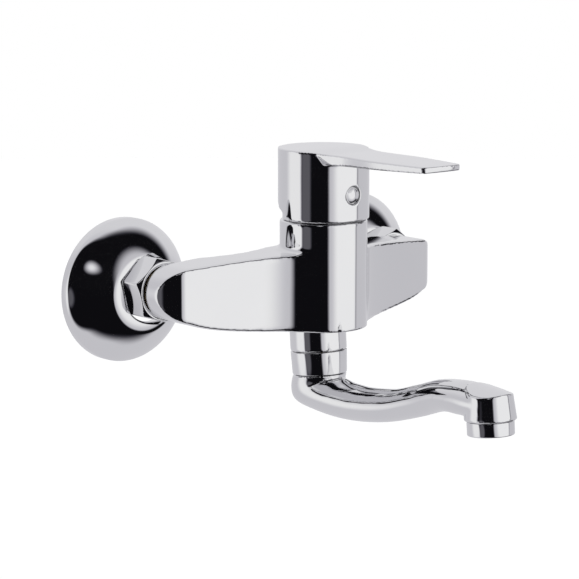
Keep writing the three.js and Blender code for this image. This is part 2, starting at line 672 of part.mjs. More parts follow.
/** Side view of the top face, shared by skirt and blade, closed far below it. */
function topProfile(bottomRoot, bottomTip) {
  const shape = new THREE.Shape();
  shape.moveTo(LEVER_R + PAST, LEVER_TOP);
  shape.lineTo(0, LEVER_TOP);
  shape.bezierCurveTo(-9, LEVER_TOP, -15, BLADE_TOP_ROOT + 0.2, -LEVER_R, BLADE_TOP_ROOT);
  shape.lineTo(-BLADE_REACH - PAST, BLADE_TOP_TIP);
  shape.lineTo(-BLADE_REACH - PAST, bottomTip);
  shape.lineTo(-LEVER_R, bottomRoot);
  shape.lineTo(LEVER_R + PAST, bottomRoot);
  shape.closePath();
  return shape;
}

function leverBlade() {
  const plan = extrudeZ(bladePlan(), LEVER_BOTTOM, LEVER_TOP + PAST, 8);
  const side = topProfile(BLADE_TOP_ROOT - BLADE_ROOT_THICKNESS, BLADE_TOP_TIP - BLADE_TIP_THICKNESS);
  return common(plan, extrudeX(side, -LEVER_R, LEVER_R, 6));
}

/** Wedge cut off the skirt's lower back, so that the lever can lift over the body's rim. */
function skirtRelief() {
  const slope = Math.tan(rad(LIFT_ANGLE + 0.5));
  const far = LEVER_R + PAST;
  const below = LEVER_BOTTOM - PAST;
  return extrudeX(polygon([
    [-RELIEF_START, LEVER_BOTTOM], [-RELIEF_START, below], [far, below],
    [far, LEVER_BOTTOM + slope * (far + RELIEF_START)],
  ]), -far, far);
}

function leverBody() {
  const skirt = common(rodZ(LEVER_R, LEVER_BOTTOM, LEVER_TOP + PAST, 60),
    extrudeX(topProfile(LEVER_BOTTOM - PAST, LEVER_BOTTOM - PAST), -LEVER_R - PAST, LEVER_R + PAST, 6));
  const cavity = rodZ(LEVER_CAVITY_R, LEVER_BOTTOM - PAST, LEVER_CAVITY_TOP, 48);
  const boss = rodZ(SOCKET_BOSS_R, SOCKET_BOSS_BOTTOM, LEVER_CAVITY_TOP + 1, 32);
  const socket = block(insertOuter + 2 * GAP, insertOuter + 2 * GAP,
    LEVER_CAVITY_TOP - SOCKET_BOSS_BOTTOM + PAST, SOCKET_BOSS_BOTTOM - PAST);
  const seatDepth = -LEVER_R + PLUG_DEPTH + 2 * GAP;
  const plugSeat = rodY(PLUG_R + GAP / 2, -LEVER_R - PAST, seatDepth, 32).translate(0, 0, SCREW_Z);
  const screwHole = rodY(SCREW_R + GAP, seatDepth - 1, 0, 16).translate(0, 0, SCREW_Z);
  const screwBoss = rodY(SCREW_BOSS_R, -LEVER_R + 0.8, 0, 24).translate(0, 0, SCREW_Z);
  const shell = cut(join(skirt, leverBlade()), cavity, skirtRelief());
  return cut(join(shell, boss, screwBoss), socket, plugSeat, screwHole);
}

const insertOuter = STEM + 2 * (GAP + INSERT_WALL);
const insertBottom = SOCKET_BOSS_BOTTOM + 1;
const insertTop = STEM_TOP + 1;

function leverInsert() {
  const sleeve = block(insertOuter, insertOuter, insertTop - insertBottom, insertBottom);
  const square = block(STEM + 2 * GAP, STEM + 2 * GAP, insertTop - insertBottom + 2 * PAST,
    insertBottom - PAST);
  const hole = rodY(SCREW_R + GAP, -insertOuter, 0, 16).translate(0, 0, SCREW_Z);
  return cut(sleeve, square, hole);
}

function gripScrew() {
  const point = -(STEM / 2 + GAP);
  const head = point - SCREW_LENGTH;
  const shank = turnY([
    [0, head], [SCREW_R, head], [SCREW_R, point - 1], [SCREW_R - 1, point], [0, point],
  ], 20);
  const key = rodY(SCREW_SOCKET.half * 1.155, head - PAST, head + SCREW_SOCKET.depth, 6);
  return cut(shank, key).translate(0, 0, SCREW_Z);
}

function indicatorPlug() {
  const face = -LEVER_R + 0.2;
  return turnY([
    [0, face - PLUG_CROWN], [PLUG_R * 0.5, face - PLUG_CROWN * 0.75], [PLUG_R - 0.4, face - 0.1],
    [PLUG_R, face + 0.3], [PLUG_R, face + PLUG_DEPTH], [0, face + PLUG_DEPTH],
  ], 32).translate(0, 0, SCREW_Z);
}

piece('lever', leverBody(), CHROME, cartridge);
piece('lever_insert', leverInsert(), GREY_PLASTIC, cartridge);
piece('lever_set_screw', gripScrew(), STEEL, cartridge);
piece('indicator_plug', indicatorPlug(), CHROME, cartridge);

// ---------------------------------------------------------------------------------------------
// Outlet: nipple in the body, swivel nut, and the spout with its rings
// ---------------------------------------------------------------------------------------------

function outletNipple() {
  return ringZ(NIPPLE_R, NIPPLE_BORE_R, NIPPLE_BOTTOM, NIPPLE_TOP, 32);
}

function swivelNut() {
  const top = -GAP + 0.05;
  const bottom = -SWIVEL_NUT_LENGTH;
  const lip = bottom + SWIVEL_LIP;
  return turnZ([
    [NIPPLE_R + GAP, top], [OUTLET_R - OUTLET_CHAMFER, top], [OUTLET_R, top - OUTLET_CHAMFER],
    [SWIVEL_NUT_END_R, bottom + 0.4], [SWIVEL_NUT_END_R - 0.4, bottom],
    [TAIL_R + 1, bottom], [TAIL_R + 1, lip], [NIPPLE_R + GAP, lip],
  ], 36);
}

// Sections of the cast spout. Each has its place along the reach, the height of its centre, the
// lean of its upright from the horizontal, its height and its width. The first ones turn the round
// under the nut into the run of the spout, the last ones swell into the head.
const SPOUT_SECTIONS = [
  { along: 0, z: SPOUT_TOP, lean: 0, high: 26.8, wide: 26.8 },
  { along: -0.012, z: -16.6, lean: 9, high: 28.9, wide: 26.6 },
  { along: 0.006, z: -20.1, lean: 24, high: 30.9, wide: 25.8 },
  { along: 0.099, z: -23, lean: 33, high: 27.5, wide: 24.6 },
  { along: 0.251, z: -24.9, lean: 50, high: 22.1, wide: 22.4 },
  { along: 0.438, z: -23.8, lean: 74, high: 17.2, wide: 20.4 },
  { along: 0.608, z: -19.6, lean: 93, high: 15.7, wide: 20 },
  { along: 0.741, z: -15.7, lean: 102, high: 15.4, wide: 21.4 },
  { along: 0.86, z: -15.6, lean: 93, high: 16.2, wide: 23.2 },
  { along: 0.93, z: -16.4, lean: 88, high: 15.8, wide: 23.8 },
  { along: 0.99, z: -17.1, lean: 83, high: 14.2, wide: 23.4 },
];
const SPOUT_STEPS = 24;
const SPOUT_SIDES = 24;

/** Smooth run of one of the sections' values, as a function of the share of the spout's length. */
function sectionValue(pick) {
  const points = SPOUT_SECTIONS.map((section, i) => new THREE.Vector2(i, pick(section)));
  const spline = new THREE.SplineCurve(points);
  return (t) => spline.getPoint(t).y;
}

/** The spout's elliptical rings from one share of its length to another, less a wall. */
function spoutRings(wall, from, to, steps, sides) {
  const along = sectionValue((section) => section.along * SPOUT_REACH);
  const centreZ = sectionValue((section) => section.z);
  const lean = sectionValue((section) => rad(section.lean));
  const high = sectionValue((section) => section.high);
  const wide = sectionValue((section) => section.wide);
  const rings = [];
  for (let i = 0; i <= steps; i += 1) {
    const t = from + (to - from) * i / steps;
    const [halfHigh, halfWide] = [high(t) / 2 - wall, wide(t) / 2 - wall];
    const ring = [];
    for (let k = 0; k < sides; k += 1) {
      const angle = 2 * Math.PI * k / sides;
      const rise = halfHigh * Math.cos(angle);
      ring.push(new THREE.Vector3(halfWide * Math.sin(angle),
        -along(t) - rise * Math.cos(lean(t)), centreZ(t) + rise * Math.sin(lean(t))));
    }
    rings.push(ring);
  }
  return rings;
}

/** The tail that turns inside the nipple: grooves for two O-rings and the slip ring. */
function spoutTail() {
  const floor = TAIL_R - RING_GROOVE_DEPTH;
  const half = O_RING.r + 0.35;
  const profile = [[0, TAIL_TOP], [TAIL_R, TAIL_TOP]];
  for (const z of O_RING.heights) {
    profile.push([TAIL_R, z + half], [floor, z + half], [floor, z - half], [TAIL_R, z - half]);
  }
  const slipHalf = SLIP_RING.thickness / 2 + GAP;
  profile.push([TAIL_R, SLIP_RING.z + slipHalf], [floor, SLIP_RING.z + slipHalf],
    [floor, SLIP_RING.z - slipHalf], [TAIL_R, SLIP_RING.z - slipHalf],
    [TAIL_R, SPOUT_TOP - 2], [0, SPOUT_TOP - 2]);
  return turnZ(profile, 24);
}

/** The head: an upright round that widens downwards under a crowned, sloping top. */
function spoutHead() {
  const { r, top, slope } = HEAD_CROWN;
  const ceiling = top + HEAD_R;
  const topR = HEAD_R - (ceiling - HEAD_BOTTOM) * Math.tan(rad(HEAD_TAPER));
  const round = turnZ([
    [0, HEAD_BOTTOM], [HEAD_R - 0.4, HEAD_BOTTOM], [HEAD_R, HEAD_BOTTOM + 0.4],
    [topR, ceiling], [0, ceiling],
  ], 40).translate(0, -SPOUT_REACH, 0);
  const crown = rodY(r, -2 * HEAD_R, 2 * HEAD_R, 60).rotateX(rad(slope))
    .translate(0, -SPOUT_REACH, top - r / Math.cos(rad(slope)));
  return common(round, crown);
}

function spoutBody() {
  const skin = loft(spoutRings(0, 0, 1, SPOUT_STEPS, SPOUT_SIDES));
  const hollow = loft(spoutRings(SPOUT_WALL, 0.14, 0.98, 14, 12));
  const tailBore = rodZ(TAIL_BORE_R, SPOUT_TOP - 8, TAIL_TOP + PAST, 20);
  const mouthTop = HEAD_BOTTOM + AERATOR_THREAD_LENGTH + WASHER_THICKNESS + 2 * GAP;
  const mouth = rodZ(AERATOR_THREAD_R + GAP, HEAD_BOTTOM - PAST, mouthTop, 32)
    .translate(0, -SPOUT_REACH, 0);
  return cut(join(skin, spoutTail(), spoutHead()), hollow, tailBore, mouth);
}

function oRing(z) {
  const centre = TAIL_R - RING_GROOVE_DEPTH + 0.2 + O_RING.r;
  const profile = [];
  for (let i = 0; i < 6; i += 1) {
    const angle = i * Math.PI / 3;
    profile.push([centre + O_RING.r * Math.cos(angle), z + O_RING.r * Math.sin(angle)]);
  }
  return turnZ(profile, 20);
}

/** Split plastic ring that snaps round the tail and rests on the swivel nut's lip. */
function slipRing() {
  const outer = NIPPLE_R + GAP - SLIP_RING.clearance;
  const inner = TAIL_R - RING_GROOVE_DEPTH + GAP;
  const half = rad(SLIP_RING.split / 2);
  const shape = new THREE.Shape();
  shape.absarc(0, 0, outer, half, 2 * Math.PI - half, false);
  shape.absarc(0, 0, inner, 2 * Math.PI - half, half, true);
  shape.closePath();
  const low = SLIP_RING.z - SLIP_RING.thickness / 2;
  return extrudeZ(shape, low, low + SLIP_RING.thickness, 16).rotateZ(Math.PI / 2);
}

piece('outlet_nipple', outletNipple(), BRASS, outlet);
piece('spout_nut', swivelNut(), CHROME, outlet);
piece('spout', spoutBody(), CHROME, outlet);
O_RING.heights.forEach((z, i) => piece(`spout_o_ring_${['upper', 'lower'][i]}`, oRing(z), RUBBER, outlet));
piece('spout_slip_ring', slipRing(), WHITE_PLASTIC, outlet);

// ---------------------------------------------------------------------------------------------
// Aerator, in a frame at the bottom of the spout's head
// ---------------------------------------------------------------------------------------------

const aeratorTop = AERATOR_THREAD_LENGTH;
const aeratorBottom = -GAP - AERATOR_LENGTH;
const insertFloor = aeratorBottom + AERATOR_LIP.height + GAP;
const screenBottom = aeratorTop - 1.2 - SCREEN_THICKNESS;

function aeratorHousing() {
  return turnZ([
    [AERATOR_BORE_R, aeratorTop], [AERATOR_THREAD_R, aeratorTop], [AERATOR_THREAD_R, -GAP],
    [AERATOR_R - 0.3, -GAP], [AERATOR_R, -GAP - 0.3], [AERATOR_R, aeratorBottom + 0.8],
    [AERATOR_R - 0.5, aeratorBottom], [AERATOR_BORE_R - AERATOR_LIP.width, aeratorBottom],
    [AERATOR_BORE_R - AERATOR_LIP.width, aeratorBottom + AERATOR_LIP.height],
    [AERATOR_BORE_R, aeratorBottom + AERATOR_LIP.height],
  ], 36);
}

/** Plastic insert: a plug with a honeycomb of straight cells. */
function aeratorInsert() {
  const plug = rodZ(AERATOR_BORE_R - GAP, insertFloor, screenBottom - GAP, 32);
  const cellR = (INSERT_CELL - INSERT_RIB) / Math.sqrt(3);
  const cells = [];
  for (let row = -2; row <= 2; row += 1) {
    const count = 5 - Math.abs(row);
    for (let i = 0; i < count; i += 1) {
      const x = (i - (count - 1) / 2) * INSERT_CELL;
      const y = row * INSERT_CELL * Math.sqrt(3) / 2;
      if (Math.hypot(x, y) < 2.1 * INSERT_CELL - 0.8) {
        cells.push(rodZ(cellR, insertFloor - PAST, screenBottom + PAST, 6).translate(x, y, 0));
      }
    }
  }
  return cut(plug, ...cells);
}

function aeratorScreen() {
  return rodZ(AERATOR_BORE_R - GAP, screenBottom, screenBottom + SCREEN_THICKNESS, 32);
}

function aeratorWasher() {
  const low = aeratorTop + GAP;
  return ringZ(AERATOR_THREAD_R, AERATOR_BORE_R - 1.4, low, low + WASHER_THICKNESS - GAP, 32);
}

piece('aerator_housing', aeratorHousing(), CHROME, aerator);
piece('aerator_insert', aeratorInsert(), WHITE_PLASTIC, aerator);
piece('aerator_screen', aeratorScreen(), STEEL, aerator);
piece('aerator_washer', aeratorWasher(), RUBBER, aerator);

// ---------------------------------------------------------------------------------------------
// Wall side, once for each inlet: nipple, washer, union nut, eccentric union and wall flange
// ---------------------------------------------------------------------------------------------

const flangeBack = -UNION_NUT.front + UNION_NUT.lip + GAP;      // captive flange of the nipple
const washerBack = flangeBack + INLET_FLANGE + GAP;
const unionFront = washerBack + INLET_WASHER.thickness + GAP;

function inletNipple() {
  return turnY([
    [UNION_BORE_R, -ARM_BACK - INLET_THREAD_DEPTH + GAP],
    [INLET_NIPPLE_R, -ARM_BACK - INLET_THREAD_DEPTH + GAP],
    [INLET_NIPPLE_R, flangeBack], [INLET_FLANGE_R, flangeBack],
    [INLET_FLANGE_R, flangeBack + INLET_FLANGE], [UNION_BORE_R, flangeBack + INLET_FLANGE],
  ], 32);
}

function inletWasher() {
  const back = washerBack + INLET_WASHER.thickness;
  return turnY([
    [UNION_BORE_R, washerBack], [INLET_WASHER.outer, washerBack],
    [INLET_WASHER.outer, back], [UNION_BORE_R, back],
  ], 32);
}

/** Captive hexagon nut with rounded-off corners and an inward lip at its room end. */
function unionNut(side) {
  const corner = UNION_NUT.acrossFlats / Math.sqrt(3);
  const [front, back] = [-UNION_NUT.front, -UNION_NUT.back];
  const turned = turnY([
    [0, front], [corner - 2.6, front], [corner - 0.2, front + 2], [corner - 0.2, back - 1.2],
    [corner - 1.6, back], [0, back],
  ], 36);
  const hexagon = rodY(corner, front - PAST, back + PAST, 6).rotateY(side * rad(30 - UNION_NUT.turn));
  const bore = turnY([
    [0, front - PAST], [INLET_NIPPLE_R + GAP, front - PAST],
    [INLET_NIPPLE_R + GAP, front + UNION_NUT.lip], [UNION_THREAD_R + GAP, front + UNION_NUT.lip],
    [UNION_THREAD_R + GAP, back + PAST], [0, back + PAST],
  ], 32);
  return cut(common(turned, hexagon), bore);
}

/** Eccentric union: G3/4 end towards the room, G1/2 tail set lower and sunk in the wall. */
function eccentricUnion() {
  const step = -UNION_STEP;
  const thread = rodY(UNION_THREAD_R, unionFront, -UNION_THREAD_BACK, 28);
  const neck = rodY(UNION_NECK_R, -UNION_THREAD_BACK - 1, step, 28)
    .translate(0, 0, -UNION_OFFSET / 2);
  const tail = rodY(UNION_TAIL_R, step - 1, UNION_IN_WALL, 28).translate(0, 0, -UNION_OFFSET);
  const frontBore = rodY(UNION_BORE_R, unionFront - PAST, step - 2, 24);
  const tailBore = rodY(UNION_BORE_R - 1, step - 4, UNION_IN_WALL + PAST, 24)
    .translate(0, 0, -UNION_OFFSET);
  return cut(join(thread, neck, tail), frontBore, tailBore);
}

/** Bell-shaped flange: an upright rim, a domed flank and a shallow cone round the hole. */
function wallFlange() {
  const slope = rad(FLANGE_KNEE.slope);
  const [alongR, alongY] = [Math.cos(slope), Math.sin(slope)];
  const outline = (inset) => {
    const [r, kneeR, hole] = [FLANGE_R - inset, FLANGE_KNEE.r - inset * alongY, FLANGE_HOLE_R];
    const [kneeY, height] = [-FLANGE_KNEE.y + inset * alongR, -FLANGE_HEIGHT + inset];
    const flank = new THREE.CubicBezierCurve(
      new THREE.Vector2(r, -FLANGE_RIM_DEPTH), new THREE.Vector2(r, -FLANGE_RIM_DEPTH - 2.5),
      new THREE.Vector2(kneeR + 12 * alongR, kneeY + 12 * alongY), new THREE.Vector2(kneeR, kneeY));
    const cone = new THREE.CubicBezierCurve(
      new THREE.Vector2(kneeR, kneeY), new THREE.Vector2(kneeR - 2 * alongR, kneeY - 2 * alongY),
      new THREE.Vector2(hole + 2, height), new THREE.Vector2(hole, height));
    return [flank, cone];
  };
  const trace = ([flank, cone], flankSteps, coneSteps) =>
    [...flank.getPoints(flankSteps), ...cone.getPoints(coneSteps).slice(1)].map((p) => [p.x, p.y]);
  return turnY([
    [FLANGE_R, 0], ...trace(outline(0), 7, 3), ...trace(outline(FLANGE_WALL), 5, 2).reverse(),
    [FLANGE_R - FLANGE_WALL, -FLANGE_WALL], [FLANGE_R - FLANGE_FOOT, -FLANGE_WALL],
    [FLANGE_R - FLANGE_FOOT, 0],
  ], 40);
}

for (const [name, side] of SIDES) {
  const inlet = group(side * INLET_SPACING / 2, 0, 0);
  piece(`inlet_nipple_${name}`, inletNipple(), BRASS, inlet);
  piece(`inlet_washer_${name}`, inletWasher(), FIBRE, inlet);
  piece(`union_nut_${name}`, unionNut(side), CHROME, inlet);
  piece(`eccentric_union_${name}`, eccentricUnion(), CHROME, inlet);
  piece(`wall_flange_${name}`, wallFlange(), CHROME, group(0, 0, -UNION_OFFSET, inlet));
}

export default mixer;
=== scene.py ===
"""Looks of a wall-mounted single-lever sink mixer, laid out as an add-on.

The finished pieces are in metres, in the CAD's frame: +X is right as seen from the room, +Y points
into the wall, +Z is up. Shapes are worked out in millimetres and scaled once, when they are done.
"""

import json
import math

import bmesh
import bpy
from bpy.props import FloatProperty, FloatVectorProperty, PointerProperty
from mathutils import Matrix, Vector
from mathutils.geometry import interpolate_bezier

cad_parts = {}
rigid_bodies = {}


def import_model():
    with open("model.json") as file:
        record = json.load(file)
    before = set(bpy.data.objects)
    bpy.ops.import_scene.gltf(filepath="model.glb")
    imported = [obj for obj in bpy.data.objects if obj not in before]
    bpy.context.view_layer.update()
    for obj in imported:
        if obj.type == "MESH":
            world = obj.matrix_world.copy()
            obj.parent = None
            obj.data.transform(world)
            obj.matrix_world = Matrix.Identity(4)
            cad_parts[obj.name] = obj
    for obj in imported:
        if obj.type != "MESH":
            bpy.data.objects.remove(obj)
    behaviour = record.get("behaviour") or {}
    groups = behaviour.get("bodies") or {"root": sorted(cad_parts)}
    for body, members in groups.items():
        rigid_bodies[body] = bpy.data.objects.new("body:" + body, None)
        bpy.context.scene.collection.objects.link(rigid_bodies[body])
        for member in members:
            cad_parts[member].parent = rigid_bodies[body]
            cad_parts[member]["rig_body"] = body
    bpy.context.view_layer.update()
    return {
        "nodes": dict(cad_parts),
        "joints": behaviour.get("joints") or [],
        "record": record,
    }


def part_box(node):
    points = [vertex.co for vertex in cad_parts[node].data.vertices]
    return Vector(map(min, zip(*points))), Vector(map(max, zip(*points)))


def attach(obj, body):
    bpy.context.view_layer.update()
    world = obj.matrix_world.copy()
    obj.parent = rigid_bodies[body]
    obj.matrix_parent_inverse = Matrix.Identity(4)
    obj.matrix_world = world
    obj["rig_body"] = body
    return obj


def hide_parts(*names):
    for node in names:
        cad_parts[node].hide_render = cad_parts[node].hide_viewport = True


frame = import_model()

bl_info = {
    "name": "Wall-mounted sink mixer",
    "version": (1, 0, 0),
    "blender": (4, 5, 0),
    "location": "3D View > Sidebar > Sink Mixer",
    "description": "Builds the finished pieces of a single-lever sink mixer round its CAD frame",
    "category": "Object",
}

MM = 0.001
SIDES = {"left": -1, "right": 1}


def box_mm(node):
    """Lowest and highest corner of a CAD node, in millimetres."""
    low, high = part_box(node)
    return low / MM, high / MM


# Places that the CAD gives
AXIS_Y = sum(v.y for v in box_mm("cap_ring")) / 2           # upright axis of the cartridge
INLET_X = sum(v.x for v in box_mm("inlet_nipple_right")) / 2
SWIVEL = next(joint for joint in frame["joints"] if joint["name"] == "spout_swivel")
OUTLET = Vector(SWIVEL["pos_m"]) / MM
LEAN = math.atan2(SWIVEL["axis"][1], SWIVEL["axis"][2])

# Frames that shapes are placed by
AXIS_FRAME = Matrix.Translation((0, AXIS_Y, 0))
OUTLET_FRAME = Matrix.Translation(OUTLET) @ Matrix.Rotation(-LEAN, 4, "X")
TO_ROOM = Matrix.Rotation(math.pi / 2, 4, "X")              # Z points from the wall into the room
UNION_DROP = 3.4          # how far the eccentric unions set the flanges below the inlets


def along_inlet(side, drop=0.0):
    """Frame on an inlet's axis, or that far below it, whose Z points into the room."""
    return Matrix.Translation((side * INLET_X, 0, -drop)) @ TO_ROOM


# ---------------------------------------------------------------------------------------------
# Sizes and colours that a user would change
# ---------------------------------------------------------------------------------------------

def length(name, description, millimetres):
    return FloatProperty(name=name, description=description, default=millimetres * MM,
                         min=0.0, unit="LENGTH", precision=5)


def colour(name, description, rgb):
    return FloatVectorProperty(name=name, description=description, default=rgb,
                               subtype="COLOR", size=3, min=0.0, max=1.0)


class CastingSize(bpy.types.PropertyGroup):
    """Sizes of the cast body."""
    barrel_radius: length("Barrel radius", "Radius of the upright barrel", 21.75)
    barrel_top: length("Barrel top", "Height of the barrel's rim", 32.3)
    depth_below: length("Depth below", "How far the body reaches below the inlets", 21.5)
    arm_end_radius: length("Arm end radius", "Radius of each arm's round end", 13.6)
    root_fillet: length("Root fillet", "Fillet between the arms' tops and the barrel", 2.6)
    skin: length("Skin", "Size of the faces that the polished casting is made of", 0.62)


class LeverSize(bpy.types.PropertyGroup):
    """Sizes of the lever."""
    skirt_radius: length("Skirt radius", "Outer radius of the lever's skirt", 22.6)
    top: length("Top", "Height of the lever's top", 68.0)
    reach: length("Reach", "From the cartridge's axis to the blade's tip", 86.3)
    skin: length("Skin", "Size of the faces that the polished lever is made of", 0.5)


class SpoutSize(bpy.types.PropertyGroup):
    """Sizes of the spout."""
    reach: length("Reach", "From the swivel axis to the aerator's axis", 121.3)
    head_radius: length("Head radius", "Radius of the head at its bottom", 12.5)
    skin: length("Skin", "Size of the faces that the polished spout is made of", 0.52)


class WallSideSize(bpy.types.PropertyGroup):
    """Sizes of the nuts and flanges beside the wall."""
    flange_radius: length("Flange radius", "Outer radius of the bell-shaped wall flange", 36.0)
    flange_height: length("Flange height", "From the wall to the flange's front", 23.0)
    nut_across_flats: length("Nut across flats", "Width of the union nut over two flats", 29.6)
    nut_skin: length("Nut skin", "Size of the faces that the union nut is made of", 0.34)


class FinishChoice(bpy.types.PropertyGroup):
    """Colours of the finishes."""
    chrome: colour("Chrome", "Colour of the chrome plating", (0.80, 0.80, 0.81))
    brass: colour("Brass", "Colour of the bare brass inside", (0.72, 0.58, 0.34))
    chrome_roughness: FloatProperty(
        name="Chrome roughness", description="Roughness of clean chrome", default=0.03,
        min=0.0, max=1.0, subtype="FACTOR")


SETTINGS = {
    "mixer_casting": CastingSize,
    "mixer_lever": LeverSize,
    "mixer_spout": SpoutSize,
    "mixer_wall_side": WallSideSize,
    "mixer_finish": FinishChoice,
}


# ---------------------------------------------------------------------------------------------
# Finishes
# ---------------------------------------------------------------------------------------------

def feed(tree, node, inputs):
    """Links the inputs that are given a socket, and sets the others."""
    for key, value in inputs.items():
        if isinstance(value, bpy.types.NodeSocket):
            tree.links.new(value, node.inputs[key])
        else:
            node.inputs[key].default_value = value


def node_maker(tree):
    """A function that adds a node to a tree, sets its options and feeds its inputs."""
    def add(kind, inputs=None, **options):
        node = tree.nodes.new(kind)
        for key, value in options.items():
            setattr(node, key, value)
        feed(tree, node, inputs or {})
        return node

    return add


def maths(add, operation, *values):
    """What a sum, a product or another operation makes of its values."""
    return add("ShaderNodeMath", dict(enumerate(values)), operation=operation).outputs["Value"]


def graded(add, value, start, end, first, last, **options):
    """Goes from the first number to the last one while the value goes from start to end."""
    return add("ShaderNodeMapRange", {"Value": value, "From Min": start, "From Max": end,
                                      "To Min": first, "To Max": last}, **options).outputs["Result"]


def ramp(add, factor, stops):
    """Colour that changes with a factor, by stops of (place, colour)."""
    node = add("ShaderNodeValToRGB", {"Fac": factor})
    elements = node.color_ramp.elements
    while len(elements) < len(stops):
        elements.new(0.5)
    for element, (place, rgb) in zip(elements, stops):
        element.position = place
        element.color = (*rgb, 1.0)
    return node.outputs["Color"]


def start_material(name):
    """A material, a function that adds nodes to it, and one that feeds its shader."""
    material = bpy.data.materials.new(name)
    material.use_nodes = True
    tree = material.node_tree
    shader = tree.nodes["Principled BSDF"]
    return material, node_maker(tree), lambda inputs: feed(tree, shader, inputs)


def chrome(name, wave_size, wave_depth):
    """Polished chrome: long waves from casting and polishing, wiped smears and dull specks."""
    finish = bpy.context.scene.mixer_finish
    clean, roughness = tuple(finish.chrome), finish.chrome_roughness
    stained = (clean[0] * 0.985, clean[1] * 0.985, clean[2] * 0.99)
    material, add, shade = start_material(name)
    place = add("ShaderNodeTexCoord").outputs["Object"]

    def noise(scale, detail, rough=0.5):
        return add("ShaderNodeTexNoise", {"Vector": place, "Scale": scale, "Detail": detail,
                                          "Roughness": rough}).outputs["Fac"]

    smears = graded(add, noise(90.0, 5.0, 0.6), 0.35, 0.8, roughness * 0.6, roughness * 2.0)
    specks = graded(add, noise(1600.0, 1.0), 0.70, 0.80, 0.0, 0.12)
    waves = add("ShaderNodeBump", {"Height": noise(1.0 / wave_size, 1.0), "Strength": 1.0,
                                   "Distance": wave_depth})
    shade({"Metallic": 1.0,
           "Base Color": ramp(add, noise(35.0, 2.0), ((0.3, stained), (0.7, clean))),
           "Roughness": maths(add, "ADD", smears, specks),
           "Normal": waves.outputs["Normal"]})
    return material


def plain_finish(name, dark, light, roughness, metallic=0.0, grain=400.0, depth=2e-5):
    """A mottled finish for inner pieces: moulded, turned or pressed, by its grain and depth."""
    material, add, shade = start_material(name)
    place = add("ShaderNodeTexCoord").outputs["Object"]
    noise = add("ShaderNodeTexNoise",
                {"Vector": place, "Scale": grain, "Detail": 4.0}).outputs["Fac"]
    relief = add("ShaderNodeBump", {"Height": noise, "Distance": depth})
    shade({"Metallic": metallic,
           "Base Color": ramp(add, noise, ((0.3, dark), (0.7, light))),
           "Roughness": graded(add, noise, 0.3, 0.7, roughness * 0.85, roughness * 1.15),
           "Normal": relief.outputs["Normal"]})
    return material


def make_finishes():
    """The two chromes of the finished pieces, and the finishes of the CAD's slots by name."""
    brass = tuple(bpy.context.scene.mixer_finish.brass)
    return {
        "cast chrome": chrome("cast_chrome", 0.02, 6e-5),
        "turned chrome": chrome("turned_chrome", 0.03, 2e-5),
        "brass": plain_finish("machined_brass", tuple(c * 0.8 for c in brass), brass, 0.28,
                              metallic=1.0, grain=700.0, depth=1e-5),
        "steel": plain_finish("plain_steel", (0.52, 0.52, 0.53), (0.66, 0.66, 0.67), 0.3,
                              metallic=1.0, grain=900.0, depth=1e-5),
        "rubber": plain_finish("black_rubber", (0.014, 0.014, 0.015), (0.026, 0.026, 0.028), 0.7),
        "ceramic": plain_finish("lapped_ceramic", (0.84, 0.82, 0.77), (0.90, 0.88, 0.84), 0.18,
                                grain=1500.0, depth=2e-6),
        "white_plastic": plain_finish("white_plastic", (0.75, 0.75, 0.72), (0.82, 0.82, 0.79),
                                      0.42),
        "grey_plastic": plain_finish("grey_plastic", (0.26, 0.27, 0.29), (0.33, 0.34, 0.36), 0.45),
        "fibre": plain_finish("vulcanised_fibre", (0.22, 0.05, 0.03), (0.34, 0.10, 0.06), 0.75,
                              grain=1100.0, depth=4e-5),
    }


FINISHES = {}


# ---------------------------------------------------------------------------------------------
# Workshop: shapes in millimetres
# ---------------------------------------------------------------------------------------------

def solid(bm, name="solid"):
    """Turns a closed bmesh into an object whose faces point outwards."""
    bmesh.ops.remove_doubles(bm, verts=bm.verts, dist=1e-5)
    bmesh.ops.recalc_face_normals(bm, faces=bm.faces)
    mesh = bpy.data.meshes.new(name)
    bm.to_mesh(mesh)
    bm.free()
    made = bpy.data.objects.new(name, mesh)
    bpy.context.scene.collection.objects.link(made)
    return made


def turned(profile, steps=192, closed=False, place=Matrix.Identity(4)):
    """Turns rows of (radius, height, rounding of that corner) about the Z axis, then places it."""
    bm = bmesh.new()
    corners = [bm.verts.new((row[0], 0.0, row[1])) for row in profile]
    for a, b in zip(corners, corners[1:] + corners[:1] if closed else corners[1:]):
        bm.edges.new((a, b))
    roundings = [row[2] if len(row) > 2 else 0.0 for row in profile]
    for size in sorted(set(roundings) - {0.0}):
        bmesh.ops.bevel(bm, geom=[v for v, own in zip(corners, roundings) if own == size],
                        offset=size, offset_type="OFFSET", affect="VERTICES", segments=5,
                        profile=0.5, material=-1)
    bmesh.ops.spin(bm, geom=bm.verts[:] + bm.edges[:], cent=(0, 0, 0), axis=(0, 0, 1),
                   dvec=(0, 0, 0), angle=2 * math.pi, steps=steps, use_merge=True)
    bmesh.ops.transform(bm, matrix=place, verts=bm.verts)
    return solid(bm)


def rod(radius, low, high, steps=96, place=Matrix.Identity(4)):
    return turned([(0, low), (radius, low), (radius, high), (0, high)], steps, place=place)


def bore(start, reaches, steps=96, place=Matrix.Identity(4)):
    """Tool for a stepped hole: where it starts, then rows of (radius, where that radius ends)."""
    profile = [(0, start)]
    for radius, end in reaches:
        profile += [(radius, profile[-1][1]), (radius, end)]
    return turned([*profile, (0, profile[-1][1])], steps, place=place)


def block(width, depth, low, high):
    bm = bmesh.new()
    bmesh.ops.create_cube(bm, size=1.0)
    bmesh.ops.scale(bm, vec=(width, depth, high - low), verts=bm.verts)
    bmesh.ops.translate(bm, vec=(0, 0, (low + high) / 2), verts=bm.verts)
    return solid(bm)


